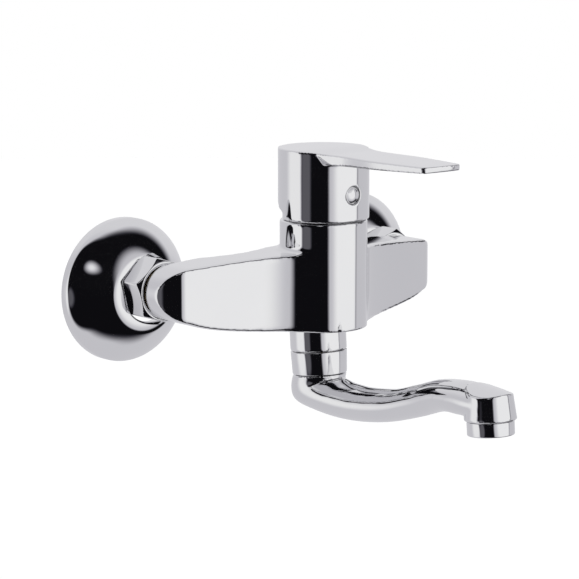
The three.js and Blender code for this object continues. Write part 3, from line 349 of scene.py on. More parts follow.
def prism(outline, along, low, high):
    """Straight prism of an outline: (X, Y) along Z, (X, Z) along Y or (Y, Z) along X."""
    axis = "XYZ".index(along)
    bm = bmesh.new()
    corners = [(*point[:axis], low, *point[axis:]) for point in outline]
    face = bm.faces.new([bm.verts.new(corner) for corner in corners])
    grown = bmesh.ops.extrude_face_region(bm, geom=[face])
    way = [0, 0, 0]
    way[axis] = high - low
    bmesh.ops.translate(bm, vec=way,
                        verts=[g for g in grown["geom"] if isinstance(g, bmesh.types.BMVert)])
    return solid(bm)


def bezier(a, b, c, d, steps):
    """Points of a flat cubic curve, without its first one."""
    knots = [Vector((*p, 0.0)) for p in (a, b, c, d)]
    return [(p.x, p.y) for p in interpolate_bezier(*knots, steps + 1)[1:]]


def arc(centre, radius, start, end, steps):
    """Points of a flat arc, angles in degrees."""
    angles = [math.radians(start + (end - start) * i / steps) for i in range(steps + 1)]
    return [(centre[0] + radius * math.cos(t), centre[1] + radius * math.sin(t)) for t in angles]


def settle(piece):
    """Applies the modifiers of a piece."""
    bpy.context.view_layer.update()
    graph = bpy.context.evaluated_depsgraph_get()
    mesh = bpy.data.meshes.new_from_object(piece.evaluated_get(graph))
    piece.modifiers.clear()
    old, piece.data = piece.data, mesh
    bpy.data.meshes.remove(old)
    return piece


def combine(operation, base, *tools):
    """Joins tools to a solid, cuts them from it or keeps what they share with it."""
    for tool in tools:
        step = base.modifiers.new(operation, "BOOLEAN")
        step.operation = operation
        step.solver = "MANIFOLD"
        step.object = tool
    settle(base)
    for tool in tools:
        bpy.data.meshes.remove(tool.data)
    if not base.data.polygons:
        raise RuntimeError(f"nothing is left of {base.name} after {operation}")
    return base


def join(base, *tools):
    return combine("UNION", base, *tools)


def cut(base, *tools):
    return combine("DIFFERENCE", base, *tools)


def common(base, *tools):
    return combine("INTERSECT", base, *tools)


def sliced(piece, place, facing):
    """Saws a solid along a plane and drops the part on the side that the plane faces."""
    bm = bmesh.new()
    bm.from_mesh(piece.data)
    sawn = bmesh.ops.bisect_plane(bm, geom=bm.verts[:] + bm.edges[:] + bm.faces[:], plane_co=place,
                                  plane_no=facing, clear_outer=True)
    edges = [item for item in sawn["geom_cut"] if isinstance(item, bmesh.types.BMEdge)]
    bmesh.ops.edgeloop_fill(bm, edges=edges)
    bm.to_mesh(piece.data)
    bm.free()
    return piece


def mirrored(piece):
    """A mirror image of a solid about the plane x = 0."""
    other = piece.copy()
    other.data = piece.data.copy()
    bpy.context.scene.collection.objects.link(other)
    other.data.transform(Matrix.Scale(-1, 4, (1, 0, 0)))
    other.data.flip_normals()
    return other


def rub(piece, passes, group=""):
    """Smooths a piece a number of times, all of it or as far as a vertex group asks for it."""
    smooth = piece.modifiers.new("rub", "SMOOTH")
    smooth.factor = 0.5
    smooth.iterations = passes
    smooth.vertex_group = group
    return settle(piece)


# Turns a piece askew, so that its nearly straight faces cross the skin's rows at a clear angle
ASKEW = Matrix.Rotation(math.radians(31), 4, "Z") @ Matrix.Rotation(math.radians(17), 4, "X")


def polished(piece, skin, passes, turn=Matrix.Identity(4)):
    """Gives a solid an even skin of small faces and rubs its edges round, as buffing does."""
    piece.data.transform(turn)
    even = piece.modifiers.new("skin", "REMESH")
    even.mode = "VOXEL"
    even.voxel_size = skin
    even.adaptivity = 0.0
    even.use_smooth_shade = True
    rub(piece, passes).data.transform(turn.inverted())
    return piece


def rubbed(piece, passes, share):
    """Rubs a polished solid further where share, from 0 to 1 for each place, asks for it."""
    group = piece.vertex_groups.new(name="rubbed")
    for vertex in piece.data.vertices:
        weight = share(vertex.co)
        if weight > 0:
            group.add((vertex.index,), weight, "REPLACE")
    return rub(piece, passes, group.name)


def finish_piece(piece, node, finish, sharp=30):
    """Scales a finished shape to metres, colours it and lets it stand for its CAD node."""
    name = f"{node}_finished"
    piece.data.transform(Matrix.Scale(MM, 4))
    piece.name = name
    piece.data.name = name
    piece.data.shade_smooth()
    if sharp:
        piece.data.set_sharp_from_angle(angle=math.radians(sharp))
    piece.data.materials.clear()
    piece.data.materials.append(FINISHES[finish])
    body = frame["nodes"][node]["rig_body"]
    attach(piece, body)
    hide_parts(node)
    return piece


# ---------------------------------------------------------------------------------------------
# Body
# ---------------------------------------------------------------------------------------------

PAST = 2.0                # how far a tool reaches past the face that it cuts
ARM_BACK = 38.5           # back of the arms' ends, from the wall
ARM_ROOT_BACK = 46.5      # back of the arms beside the barrel, from the wall
ARM_TOP = 18.8            # top plane of the arms over the cartridge's axis
ARM_SLOPE = 0.0685        # how fast that plane falls towards each end
BOSS_RADIUS, BOSS_LOW, BOSS_HIGH = 14.1, 0.06, 16.0     # outlet boss, from the outlet up
SEAT, SEAT_RADIUS = 4.7, 17.7                           # of the cartridge in the barrel
MOUTH, MOUTH_RADIUS = 16.2, 19.4                        # wider upper part of the same bore
THREAD_RADIUS = 10.6                                    # screwed bores of inlets and outlet
# Stepped bores, rows of (radius, where it ends): from the outlet up, and from the arms' backs
OUTLET_BORE = ((THREAD_RADIUS, 9.5), (7.6, 25.1))
INLET_BORE = ((THREAD_RADIUS, ARM_BACK + 10.5), (7.0, ARM_BACK + 15.0))
# Where the arms' fronts are rubbed once more: limits beside the barrel, at the end and at the
# back, each with the length over which it fades
RUB_LIMITS = {"root": (23.0, 4.0), "tip": (84.0, 10.0), "back": (39.5, 2.0)}


def arm_elevation(size):
    """Right arm from the front: a straight falling top, a round end and a hollow underside."""
    radius, bottom = size.arm_end_radius / MM, -size.depth_below / MM
    tangent = 90 - math.degrees(math.atan(ARM_SLOPE))
    outline = [(0.0, ARM_TOP)]
    outline += arc((INLET_X, 0.0), radius, tangent, -80, 72)
    outline += bezier(outline[-1], (INLET_X * 0.88, -18.5), (INLET_X * 0.54, bottom - 0.4),
                      (0.0, bottom), 48)
    return outline


def arm_plan(size):
    """Right arm from above: a hollow sweep off the barrel, a slight crown and a round end."""
    radius, sweep, hold = size.barrel_radius / MM, math.radians(55), 8.0
    tip = INLET_X + size.arm_end_radius / MM
    start = (radius * math.sin(sweep), AXIS_Y - radius * math.cos(sweep))
    handle = (start[0] + hold * math.cos(sweep), start[1] + hold * math.sin(sweep))
    front_curves = (        # two handles, an end and a number of steps
        (handle, (35.0, -66.9), (55.0, -62.7), 40),
        ((63.0, -61.0), (INLET_X - 6, -60.8), (INLET_X + 1, -58.6), 32),
        ((INLET_X + 2.4, -58.2), (INLET_X + 3.5, -57.9), (INLET_X + 4.5, -57.4), 12),
        ((INLET_X + 7.6, -55.8), (tip - 1.7, -50.8), (tip, -47.2), 24),
    )
    outline = [(0.0, start[1]), start]
    for curve in front_curves:
        outline += bezier(outline[-1], *curve)
    outline += [(tip, -ARM_BACK), (INLET_X - 13.6, -ARM_BACK)]
    outline += bezier(outline[-1], (INLET_X - 25, -ARM_BACK), (43.0, -ARM_ROOT_BACK),
                      (29.0, -ARM_ROOT_BACK), 24)
    outline.append((0.0, -ARM_ROOT_BACK))
    return outline


def root_fillet(size):
    """Hollow collar where the right arm's top meets the barrel, sheared to follow that top."""
    barrel, fillet = size.barrel_radius / MM, size.root_fillet / MM
    foot, head = ARM_TOP - 3, ARM_TOP + fillet
    hollow = arc((barrel + fillet, head), fillet, 270, 180, 12)
    collar = turned([(0, foot), (barrel + fillet, foot), *hollow, (0, head)], 256,
                    place=AXIS_FRAME)
    shear = Matrix.Identity(4)
    shear[2][0] = -ARM_SLOPE
    collar.data.transform(shear)
    return common(collar, prism(arm_plan(size), "Z", -5, ARM_TOP + 8))


def arm_share(place):
    """How much a place on the body is rubbed once more: fully inside the limits of the arms."""
    (root, near), (tip, far), (back, behind) = RUB_LIMITS.values()
    out = abs(place.x)
    return max(0.0, min((out - root) / near, (tip - out) / far, (-back - place.y) / behind, 1.0))


class MIXER_OT_body(bpy.types.Operator):
    """Casts the body: barrel, two swept arms and the outlet boss, bored for the cartridge."""
    bl_idname = "mixer.body"
    bl_label = "Body"

    def execute(self, context):
        size = context.scene.mixer_casting
        radius, top, bottom = size.barrel_radius / MM, size.barrel_top / MM, -size.depth_below / MM
        casting = turned([(0, bottom), (radius, bottom), (radius, top, 0.5), (0, top)], 256,
                         place=AXIS_FRAME)
        arm = common(prism(arm_elevation(size), "Y", AXIS_Y - radius, 0),
                     prism(arm_plan(size), "Z", bottom - PAST, ARM_TOP + PAST))
        fillet = root_fillet(size)
        boss = turned([(0, BOSS_LOW), (BOSS_RADIUS, BOSS_LOW, 0.5), (BOSS_RADIUS, BOSS_HIGH),
                       (0, BOSS_HIGH)], place=OUTLET_FRAME)
        casting = join(casting, arm, mirrored(arm), fillet, mirrored(fillet), boss)
        bores = [bore(SEAT, ((SEAT_RADIUS, MOUTH), (MOUTH_RADIUS, top + PAST)), 128, AXIS_FRAME),
                 bore(-PAST, OUTLET_BORE, place=OUTLET_FRAME)]
        for side in SIDES.values():
            bores.append(bore(ARM_BACK - PAST, INLET_BORE, place=along_inlet(side)))
        polished(cut(casting, *bores), size.skin / MM, 6)
        rubbed(casting, 30, arm_share)
        finish_piece(casting, "body", "cast chrome", sharp=0)
        return {"FINISHED"}


class MIXER_OT_cap_ring(bpy.types.Operator):
    """Turns the ring in the body's mouth that shows where the skirt's back is cut away."""
    bl_idname = "mixer.cap_ring"
    bl_label = "Cap Ring"

    def execute(self, context):
        low, high = box_mm("cap_ring")
        outer, foot, top = (high.x - low.x) / 2, low.z, high.z
        thread, inside, mouth, shoulder, lip = 19.1, 17.4, 15.3, 32.6, 1.3
        ring = turned([
            (inside, foot, 0.2), (thread, foot, 0.2), (thread, shoulder), (outer, shoulder, 0.3),
            (outer, top, 2.0), (mouth, top, 0.3), (mouth, top - lip), (inside, top - lip)],
            closed=True, place=AXIS_FRAME)
        finish_piece(ring, "cap_ring", "turned chrome")
        return {"FINISHED"}


# ---------------------------------------------------------------------------------------------
# Lever
# ---------------------------------------------------------------------------------------------

LEVER_BOTTOM = 32.9
CAVITY_RADIUS, CAVITY_TOP = 21.2, 58.0
CUTAWAY_START, CUTAWAY_SLOPE = -1.2, 25.5               # of the skirt's back; degrees
BLADE_ROOT, BLADE_ROOT_TOP = (17.6, -14.2), 67.1
BLADE_UNDERSIDE = (61.9, 63.5)                          # its height at the root and at the tip
BLADE_TIP_TOP = 66.5
BLADE_SIDE_LEAN = (0.9, -0.43)                          # sideways and down, of its side faces
BOSS_ON_AXIS, BOSS_FOOT = 9.5, 42.3                     # boss for the stem: radius, lowest point
SOCKET, SOCKET_FOOT = 11.8, 40.3                        # square hole for the stem's sleeve
SCREW_HEIGHT, SCREW_BOSS, SCREW_HOLE = 46.0, 5.6, 2.7   # grip screw: height, two radii
PLUG_RADIUS, PLUG_GAP, PLUG_DEPTH = 4.2, 0.25, 3.8


def blade_plan(reach):
    """The blade from above: it leaves the skirt in a hollow, swells, and narrows to its tip."""
    curves = (              # two handles, an end and a number of steps
        ((16.4, -19), (14.4, -25), (14.4, -32), 16),
        ((14.4, -39), (15.2, -45), (15.2, -52), 16),
        ((15.2, -61), (13.6, -72), (12.2, -(reach - 3.2)), 20),
        ((12.0, -(reach - 1.6)), (11.2, -(reach - 0.9)), (10.0, -(reach - 0.7)), 8),
        ((6.0, -(reach + 0.1)), (2.0, -reach), (0.0, -reach), 10),
    )
    right = [(16.0, 0.0), BLADE_ROOT]
    for curve in curves:
        right += bezier(right[-1], *curve)
    left = [(-x, y) for x, y in reversed(right[:-1])]
    return right + left


def lever_side(size, bottom_root, bottom_tip):
    """The lever's top line from the side, closed by a lower line."""
    top, radius, reach = size.top / MM, size.skirt_radius / MM, size.reach / MM
    outline = [(radius + PAST, bottom_root), (radius + PAST, top), (0.0, top)]
    outline += bezier(outline[-1], (-9, top), (-15, 67.3), (-radius, BLADE_ROOT_TOP), 24)
    outline += [(-reach - PAST, BLADE_TIP_TOP), (-reach - PAST, bottom_tip)]
    outline.append((-radius, bottom_root))
    return outline


class MIXER_OT_lever(bpy.types.Operator):
    """Casts the lever: a hollow skirt, cut away at its back, and the flat blade."""
    bl_idname = "mixer.lever"
    bl_label = "Lever"

    def execute(self, context):
        size = context.scene.mixer_lever
        radius, top, reach = size.skirt_radius / MM, size.top / MM, size.reach / MM
        below, far = LEVER_BOTTOM - PAST, radius + PAST
        skirt = common(rod(radius, LEVER_BOTTOM, top + PAST, 256),
                       prism(lever_side(size, below, below), "X", -far, far))
        blade = common(prism(blade_plan(reach), "Z", LEVER_BOTTOM, top + PAST),
                       prism(lever_side(size, *BLADE_UNDERSIDE), "X", -radius, radius))
        for side in SIDES.values():
            sliced(blade, (side * BLADE_ROOT[0], BLADE_ROOT[1], BLADE_ROOT_TOP),
                   (side * BLADE_SIDE_LEAN[0], 0, BLADE_SIDE_LEAN[1]))
        rise = math.tan(math.radians(CUTAWAY_SLOPE)) * (far - CUTAWAY_START)
        cutaway = prism([(CUTAWAY_START, LEVER_BOTTOM), (CUTAWAY_START, below), (far, below),
                         (far, LEVER_BOTTOM + rise)], "X", -far, far)
        lever = cut(join(skirt, blade), rod(CAVITY_RADIUS, below, CAVITY_TOP, 192), cutaway)
        front = Matrix.Translation((0, 0, SCREW_HEIGHT)) @ TO_ROOM
        lever = join(lever, rod(BOSS_ON_AXIS, BOSS_FOOT, CAVITY_TOP + 1),
                     rod(SCREW_BOSS, 0, radius - 0.8, 64, front))
        lever = cut(lever, block(SOCKET, SOCKET, SOCKET_FOOT, CAVITY_TOP),
                    rod(PLUG_RADIUS + PLUG_GAP, radius - PLUG_DEPTH, far, place=front),
                    rod(SCREW_HOLE, 0, radius - PLUG_DEPTH + 1, 48, front))
        lever.data.transform(AXIS_FRAME)
        polished(lever, size.skin / MM, 8, ASKEW)
        finish_piece(lever, "lever", "cast chrome", sharp=0)
        return {"FINISHED"}


class MIXER_OT_indicator_plug(bpy.types.Operator):
    """Turns the domed plug that hides the grip screw."""
    bl_idname = "mixer.indicator_plug"
    bl_label = "Indicator Plug"

    def execute(self, context):
        low, high = box_mm("indicator_plug")
        radius, front, back, dome, edge = (high.x - low.x) / 2, -low.y, -high.y, 7.0, 0.35
        opening = math.degrees(math.asin((radius - edge) / dome))
        crown = arc((0, front - dome), dome, 90 - opening, 90, 16)
        place = Matrix.Translation((0, 0, (low.z + high.z) / 2)) @ TO_ROOM
        plug = turned([(0, back), (radius, back, 0.3), (radius, crown[0][1] - 0.1, 0.15), *crown],
                      96, place=place)
        finish_piece(plug, "indicator_plug", "turned chrome")
        return {"FINISHED"}


# ---------------------------------------------------------------------------------------------
# Outlet and spout
# ---------------------------------------------------------------------------------------------

# Profiles and sections in the outlet's frame; profile rows are (radius, height, rounding)
NUT_PROFILE = ((THREAD_RADIUS, -0.06), (BOSS_RADIUS, -0.06, 0.45), (13.6, -11.5, 0.35),
               (8.1, -11.5, 0.3), (8.1, -8.4), (THREAD_RADIUS, -8.4))
TAIL_RADIUS, GROOVE_RADIUS, TAIL_TOP, TAIL_LOW = 7.1, 6.0, 7.0, -14.0
TAIL_GROOVES = ((5.4, 3.6), (1.5, -0.3), (-5.3, -7.5))  # upper and lower edge of each
# Sections of the spout: share of the reach, height of the centre, lean of its upright in degrees,
# height and width
SPOUT_SECTIONS = (
    (0.0, -11.8, 0, 26.8, 26.8),
    (-0.012, -16.6, 9, 28.9, 26.6),
    (0.006, -20.1, 24, 30.9, 25.8),
    (0.099, -23.0, 33, 27.5, 24.6),
    (0.251, -24.9, 50, 22.1, 22.4),
    (0.438, -23.8, 74, 17.2, 20.4),
    (0.608, -19.6, 93, 15.7, 20.0),
    (0.741, -15.7, 102, 15.4, 21.4),
    (0.86, -15.6, 93, 16.2, 23.2),
    (0.93, -16.4, 88, 15.8, 23.8),
    (0.99, -17.1, 83, 14.2, 23.4),
)
HEAD_BOTTOM, HEAD_TAPER = -24.6, 6.5                    # the head narrows upwards; degrees
CROWN_RADIUS, CROWN_TOP, CROWN_SLOPE = 26.0, -9.75, 10.8
WATERWAY_RADIUS, WATERWAY_LOW = 4.8, -19.8
AERATOR_SEAT_RADIUS, AERATOR_SEAT_DEPTH = 10.4, 8.6
# Heights from the head's bottom
AERATOR_PROFILE = ((9, 6.2, 0.2), (10.1, 6.2, 0.3), (10.1, -0.3), (11.2, -0.3, 0.3),
                   (11.2, -7, 0.6), (8.2, -7, 0.3), (8.2, -5.8, 0.2), (9, -5.8))


class MIXER_OT_spout_nut(bpy.types.Operator):
    """Turns the swivel nut under the body."""
    bl_idname = "mixer.spout_nut"
    bl_label = "Spout Nut"

    def execute(self, context):
        nut = turned(NUT_PROFILE, closed=True, place=OUTLET_FRAME)
        finish_piece(nut, "spout_nut", "turned chrome")
        return {"FINISHED"}


def between_sections(share):
    """Smooth values of the spout's section at a share of its length."""
    last = len(SPOUT_SECTIONS) - 1
    first = min(int(share * last), last - 1)
    t = share * last - first
    rows = [SPOUT_SECTIONS[max(0, min(last, first + k))] for k in (-1, 0, 1, 2)]
    values = []
    for p0, p1, p2, p3 in zip(*rows):
        m1, m2 = (p2 - p0) / 2, (p3 - p1) / 2
        values.append((2 * p1 - 2 * p2 + m1 + m2) * t ** 3
                      + (-3 * p1 + 3 * p2 - 2 * m1 - m2) * t ** 2 + m1 * t + p1)
    return values


def section_place(reach, share):
    """The matrix that turns a flat unit circle into the spout's section."""
    along, height, lean, high, wide = between_sections(share)
    lean = math.radians(lean)
    columns = ((wide / 2, 0, 0), (0, -high / 2 * math.cos(lean), high / 2 * math.sin(lean)),
               (0, math.sin(lean), math.cos(lean)), (0, -along * reach, height))
    place = Matrix.Identity(4)
    for k, column in enumerate(columns):
        for row in range(3):
            place[row][k] = column[row]
    return place


def spout_skin(reach, steps=110, sides=96):
    """Draws the section along the spout, ring by ring."""
    bm = bmesh.new()
    bmesh.ops.create_circle(bm, segments=sides, radius=1.0, cap_ends=True)
    place = section_place(reach, 0.0)
    bmesh.ops.transform(bm, matrix=place, verts=bm.verts)
    face = next(iter(bm.faces))
    for i in range(1, steps + 1):
        following = section_place(reach, i / steps)
        grown = bmesh.ops.extrude_face_region(bm, geom=[face])["geom"]
        bmesh.ops.transform(bm, matrix=following @ place.inverted(),
                            verts=[g for g in grown if isinstance(g, bmesh.types.BMVert)])
        old, face = face, next(g for g in grown if isinstance(g, bmesh.types.BMFace))
        if i > 1:
            bm.faces.remove(old)
        place = following
    return solid(bm)


def spout_tail():
    """The spout's tail with its two seal grooves and the groove of the slip ring."""
    profile = [(0, TAIL_TOP), (TAIL_RADIUS, TAIL_TOP, 0.3)]
    for above, below in TAIL_GROOVES:
        profile += [(TAIL_RADIUS, above), (GROOVE_RADIUS, above), (GROOVE_RADIUS, below),
                    (TAIL_RADIUS, below)]
    return turned([*profile, (TAIL_RADIUS, TAIL_LOW), (0, TAIL_LOW)], 96)


def spout_head(reach, radius):
    """The spout's head: a tapering round piece under a crowned top that falls to the front."""
    axis, slope = Matrix.Translation((0, -reach, 0)), math.radians(CROWN_SLOPE)
    ceiling = CROWN_TOP + radius
    top_radius = radius - (ceiling - HEAD_BOTTOM) * math.tan(math.radians(HEAD_TAPER))
    head = turned([(0, HEAD_BOTTOM), (radius, HEAD_BOTTOM, 0.4), (top_radius, ceiling),
                   (0, ceiling)], place=axis)
    tilt = (Matrix.Translation((0, -reach, CROWN_TOP - CROWN_RADIUS / math.cos(slope)))
            @ Matrix.Rotation(slope, 4, "X") @ Matrix.Rotation(-math.pi / 2, 4, "X"))
    return common(head, rod(CROWN_RADIUS, -2 * radius, 2 * radius, 384, tilt))


class MIXER_OT_spout(bpy.types.Operator):
    """Casts the S-shaped spout with its tail and its crowned head."""
    bl_idname = "mixer.spout"
    bl_label = "Spout"

    def execute(self, context):
        size = context.scene.mixer_spout
        reach, radius = size.reach / MM, size.head_radius / MM
        head = spout_head(reach, radius)
        spout = join(spout_skin(reach), spout_tail(), head)
        spout = cut(spout, rod(WATERWAY_RADIUS, WATERWAY_LOW, TAIL_TOP + PAST, 64),
                    rod(AERATOR_SEAT_RADIUS, HEAD_BOTTOM - PAST, HEAD_BOTTOM + AERATOR_SEAT_DEPTH,
                        place=Matrix.Translation((0, -reach, 0))))
        spout.data.transform(OUTLET_FRAME)
        polished(spout, size.skin / MM, 5)
        finish_piece(spout, "spout", "cast chrome", sharp=0)
        return {"FINISHED"}


class MIXER_OT_aerator_housing(bpy.types.Operator):
    """Turns the ring under the spout's head that holds the aerator."""
    bl_idname = "mixer.aerator_housing"
    bl_label = "Aerator Housing"

    def execute(self, context):
        reach = context.scene.mixer_spout.reach / MM
        ring = turned(AERATOR_PROFILE, closed=True,
                      place=OUTLET_FRAME @ Matrix.Translation((0, -reach, HEAD_BOTTOM)))
        finish_piece(ring, "aerator_housing", "turned chrome")
        return {"FINISHED"}


# ---------------------------------------------------------------------------------------------
# Wall side, heights from the wall
# ---------------------------------------------------------------------------------------------

UNION_NUT_BACK, UNION_NUT_FRONT, UNION_NUT_LIP = 23.4, 37.2, 34.6
UNION_NUT_TURN, UNION_NUT_BORE = 17, 13.45              # degrees; radius
UNION_RADIUS, UNION_BORE = 13.15, 7.5                   # of the end in the nut
NECK_RADIUS, NECK_LOW, NECK_HIGH = 11.0, 12.0, 24.0     # between the two ends
TAIL_END_RADIUS, TAIL_BORE = 10.45, 6.5                 # of the end in the wall
FLANGE_HOLE, FLANGE_WALL, FLANGE_FOOT = 13.5, 1.4, 2.4  # radius and two thicknesses
FLANGE_RIM, FLANGE_KNEE, FLANGE_SLOPE = 4.0, (20.0, 21.2), 35   # height, place, degrees


class MIXER_OT_union_nuts(bpy.types.Operator):
    """Makes the two hexagon union nuts with their chamfered ends."""
    bl_idname = "mixer.union_nuts"
    bl_label = "Union Nuts"

    def execute(self, context):
        size = context.scene.mixer_wall_side
        corner = size.nut_across_flats / MM / math.sqrt(3)
        back, front = UNION_NUT_BACK, UNION_NUT_FRONT
        hexagon = arc((0, 0), corner, UNION_NUT_TURN, UNION_NUT_TURN + 360, 6)[:-1]
        for name, side in SIDES.items():
            outline = hexagon if side > 0 else [(-x, y) for x, y in reversed(hexagon)]
            chamfered = turned([(0, back), (corner - 1.6, back), (corner - 0.2, back + 1.2),
                                (corner - 0.2, front - 2), (corner - 2.6, front), (0, front)])
            nut = common(prism(outline, "Z", back - 1, front + 1), chamfered)
            nut = cut(nut, bore(back - PAST, ((UNION_NUT_BORE, UNION_NUT_LIP),
                                              (THREAD_RADIUS, front + PAST)), 128))
            nut.data.transform(along_inlet(side))
            polished(nut, size.nut_skin / MM, 3)
            finish_piece(nut, f"union_nut_{name}", "turned chrome", sharp=0)
        return {"FINISHED"}


class MIXER_OT_eccentric_unions(bpy.types.Operator):
    """Turns the two eccentric unions: a wide end for the nut, a neck, and a tail set lower."""
    bl_idname = "mixer.eccentric_unions"
    bl_label = "Eccentric Unions"

    def execute(self, context):
        for name, side in SIDES.items():
            low, high = box_mm(f"eccentric_union_{name}")
            front, tail = -low.y, -high.y
            upper, middle, lower = (along_inlet(side, UNION_DROP * k) for k in (0, 0.5, 1))
            wide = rod(UNION_RADIUS, NECK_HIGH, front, 128, upper)
            neck = rod(NECK_RADIUS, NECK_LOW - 1, NECK_HIGH + 1, place=middle)
            stub = turned([(0, tail), (TAIL_END_RADIUS, tail, 0.8), (TAIL_END_RADIUS, NECK_LOW),
                           (0, NECK_LOW)], 128, place=lower)
            union = cut(join(wide, neck, stub),
                        rod(UNION_BORE, NECK_LOW + 1, front + PAST, place=upper),
                        rod(TAIL_BORE, tail - PAST, NECK_LOW + 3, place=lower))
            finish_piece(union, f"eccentric_union_{name}", "turned chrome")
        return {"FINISHED"}


class MIXER_OT_wall_flanges(bpy.types.Operator):
    """Spins the two bell-shaped wall flanges."""
    bl_idname = "mixer.wall_flanges"
    bl_label = "Wall Flanges"

    def execute(self, context):
        size = context.scene.mixer_wall_side
        radius, height = size.flange_radius / MM, size.flange_height / MM
        run, rise = math.cos(math.radians(FLANGE_SLOPE)), math.sin(math.radians(FLANGE_SLOPE))

        def shell(inset):
            """From the rim over the flank, the knee and the cone to the hole, that far inside."""
            rim, hole, front = radius - inset, FLANGE_HOLE, height - inset
            knee = (FLANGE_KNEE[0] - inset * rise, FLANGE_KNEE[1] - inset * run)
            flank = bezier((rim, FLANGE_RIM), (rim, FLANGE_RIM + 2.5),
                           (knee[0] + 12 * run, knee[1] - 12 * rise), knee, 40)
            cone = bezier(knee, (knee[0] - 2 * run, knee[1] + 2 * rise), (hole + 2, front),
                          (hole, front), 16)
            return [(rim, FLANGE_RIM), *flank, *cone]

        profile = [(radius, 0, 0.3), *shell(0.0), *reversed(shell(FLANGE_WALL)),
                   (radius - FLANGE_WALL, FLANGE_WALL), (radius - FLANGE_FOOT, FLANGE_WALL),
                   (radius - FLANGE_FOOT, 0)]
        for name, side in SIDES.items():
            flange = turned(profile, 256, closed=True, place=along_inlet(side, UNION_DROP))
            finish_piece(flange, f"wall_flange_{name}", "turned chrome")
        return {"FINISHED"}


# ---------------------------------------------------------------------------------------------
# Inner pieces and stage
# ---------------------------------------------------------------------------------------------

class MIXER_OT_inner_pieces(bpy.types.Operator):
    """Gives the CAD's inner pieces their finishes, from brass and steel to rubber and fibre."""
    bl_idname = "mixer.inner_pieces"
    bl_label = "Inner Pieces"

    def execute(self, context):
        slots = {row["node"]: row["material_slot"] for row in frame["record"]["subparts"]}
        for name, node in frame["nodes"].items():
            finish = slots[name]
            node.data.materials.clear()
            node.data.materials.append(FINISHES["turned chrome" if finish == "chrome" else finish])
        return {"FINISHED"}


# Camera: place in metres, lens and sensor in millimetres, view from the left of the front and
# from above in degrees. Floor in metres.
CAMERA_PLACE, CAMERA_LENS, SENSOR_WIDTH = (-0.8356, -1.0376, 0.2132), 162.3, 36.0
CAMERA_AZIMUTH, CAMERA_HEIGHT = 40, 9.6
FLOOR_LEVEL, FLOOR_RADIUS = -1.0, 9.0
FLOOR_GLOW = 0.12         # light of its own that only the camera sees, so that it stays white
MATT_LIGHT = 0.9          # the even light on matt surfaces

# Studio round the mixer, as the polished chrome shows it. Each zone is a soft round area:
# azimuth and height of its centre, its radius and the softness of its edge in degrees, and how
# bright it is. A later zone lies over an earlier one.
STUDIO_ZONES = (
    ("light ceiling behind", 180, 45, 50, 14, 0.79),
    ("white wall behind the camera's left", -78, -5, 22, 10, 0.95),
    ("black card, left part", -20, 20, 47, 4, 0.006),
    ("black card, lower left part", -15, -14, 41, 5, 0.006),
    ("black card", 40, 3, 75, 6, 0.006),
    ("black card, right part", 62, 0, 73, 6, 0.006),
    ("black card, upper part", 0, 40, 34, 5, 0.006),
    ("grey card", -45.7, -9.6, 11.5, 4, 0.125),
    ("softbox edge", 61.7, 4.5, 50.2, 4.2, 0.66),
    ("softbox", 61.7, 4.5, 36, 10, None),
    ("white wall on the right", 112, -7, 15, 4, 0.66),
    ("white wall further right", 132, -7, 17, 5, 0.66),
    ("lamp", -10, 32, 6, 5, 0.9),
)
ROOM_LEVEL = 0.68
SOFTBOX_LEVELS = (0.99, 0.04, 0.65)     # left of the seam, in the seam, right of it
SOFTBOX_SEAM, SEAM_HALF = 85.0, 2.5     # degrees from straight behind the object; half its width
# Colour of the studio's light at each level: the darker parts are slightly cool
STUDIO_TINT = (
    (0.0, (0.80, 0.77, 1.0)),
    (0.15, (0.94, 0.92, 1.0)),
    (0.7, (0.965, 0.958, 1.0)),
    (0.93, (1.0, 1.0, 1.0)),
)


def toward(azimuth, height):
    """Direction in degrees round the object from the camera's side (right positive), and up."""
    turn, rise = math.radians(azimuth - (90 + CAMERA_AZIMUTH)), math.radians(height)
    return (math.cos(turn) * math.cos(rise), math.sin(turn) * math.cos(rise), math.sin(rise))


def studio_world():
    """White for the camera, an even light for matt surfaces, and a studio with cards for metal."""
    world = bpy.data.worlds.new("studio")
    bpy.context.scene.world = world
    world.use_nodes = True
    tree = world.node_tree
    tree.nodes.clear()
    add = node_maker(tree)
    way = add("ShaderNodeTexCoord").outputs["Generated"]

    def angle_from(azimuth, height):
        dot = add("ShaderNodeVectorMath", {0: way, 1: toward(azimuth, height)},
                  operation="DOT_PRODUCT").outputs["Value"]
        return maths(add, "DEGREES", maths(add, "ARCCOSINE", dot))

    def fade(angle, radius, soft):
        """1 inside the radius and 0 outside."""
        return graded(add, angle, radius - soft, radius + soft, 1.0, 0.0,
                      interpolation_type="SMOOTHSTEP")

    def mix(factor, below, above):
        return add("ShaderNodeMix", {"Factor": factor, 2: below, 3: above},
                   data_type="FLOAT").outputs[0]

    behind = angle_from(180, 0)
    left, seam, right = SOFTBOX_LEVELS
    softbox = mix(fade(behind, SOFTBOX_SEAM + SEAM_HALF, SEAM_HALF), left, seam)
    softbox = mix(fade(behind, SOFTBOX_SEAM - SEAM_HALF, SEAM_HALF), softbox, right)
    level = ROOM_LEVEL
    for _, azimuth, height, radius, soft, bright in STUDIO_ZONES:
        level = mix(fade(angle_from(azimuth, height), radius, soft), level,
                    softbox if bright is None else bright)
    rays = add("ShaderNodeLightPath").outputs
    studio = mix(rays["Is Glossy Ray"], MATT_LIGHT, level)
    seen = maths(add, "MAXIMUM", rays["Is Camera Ray"], rays["Is Transmission Ray"])
    strength = mix(seen, studio, 1.0)
    background = add("ShaderNodeBackground", {"Color": ramp(add, strength, STUDIO_TINT),
                                              "Strength": strength})
    add("ShaderNodeOutputWorld", {"Surface": background.outputs["Background"]})


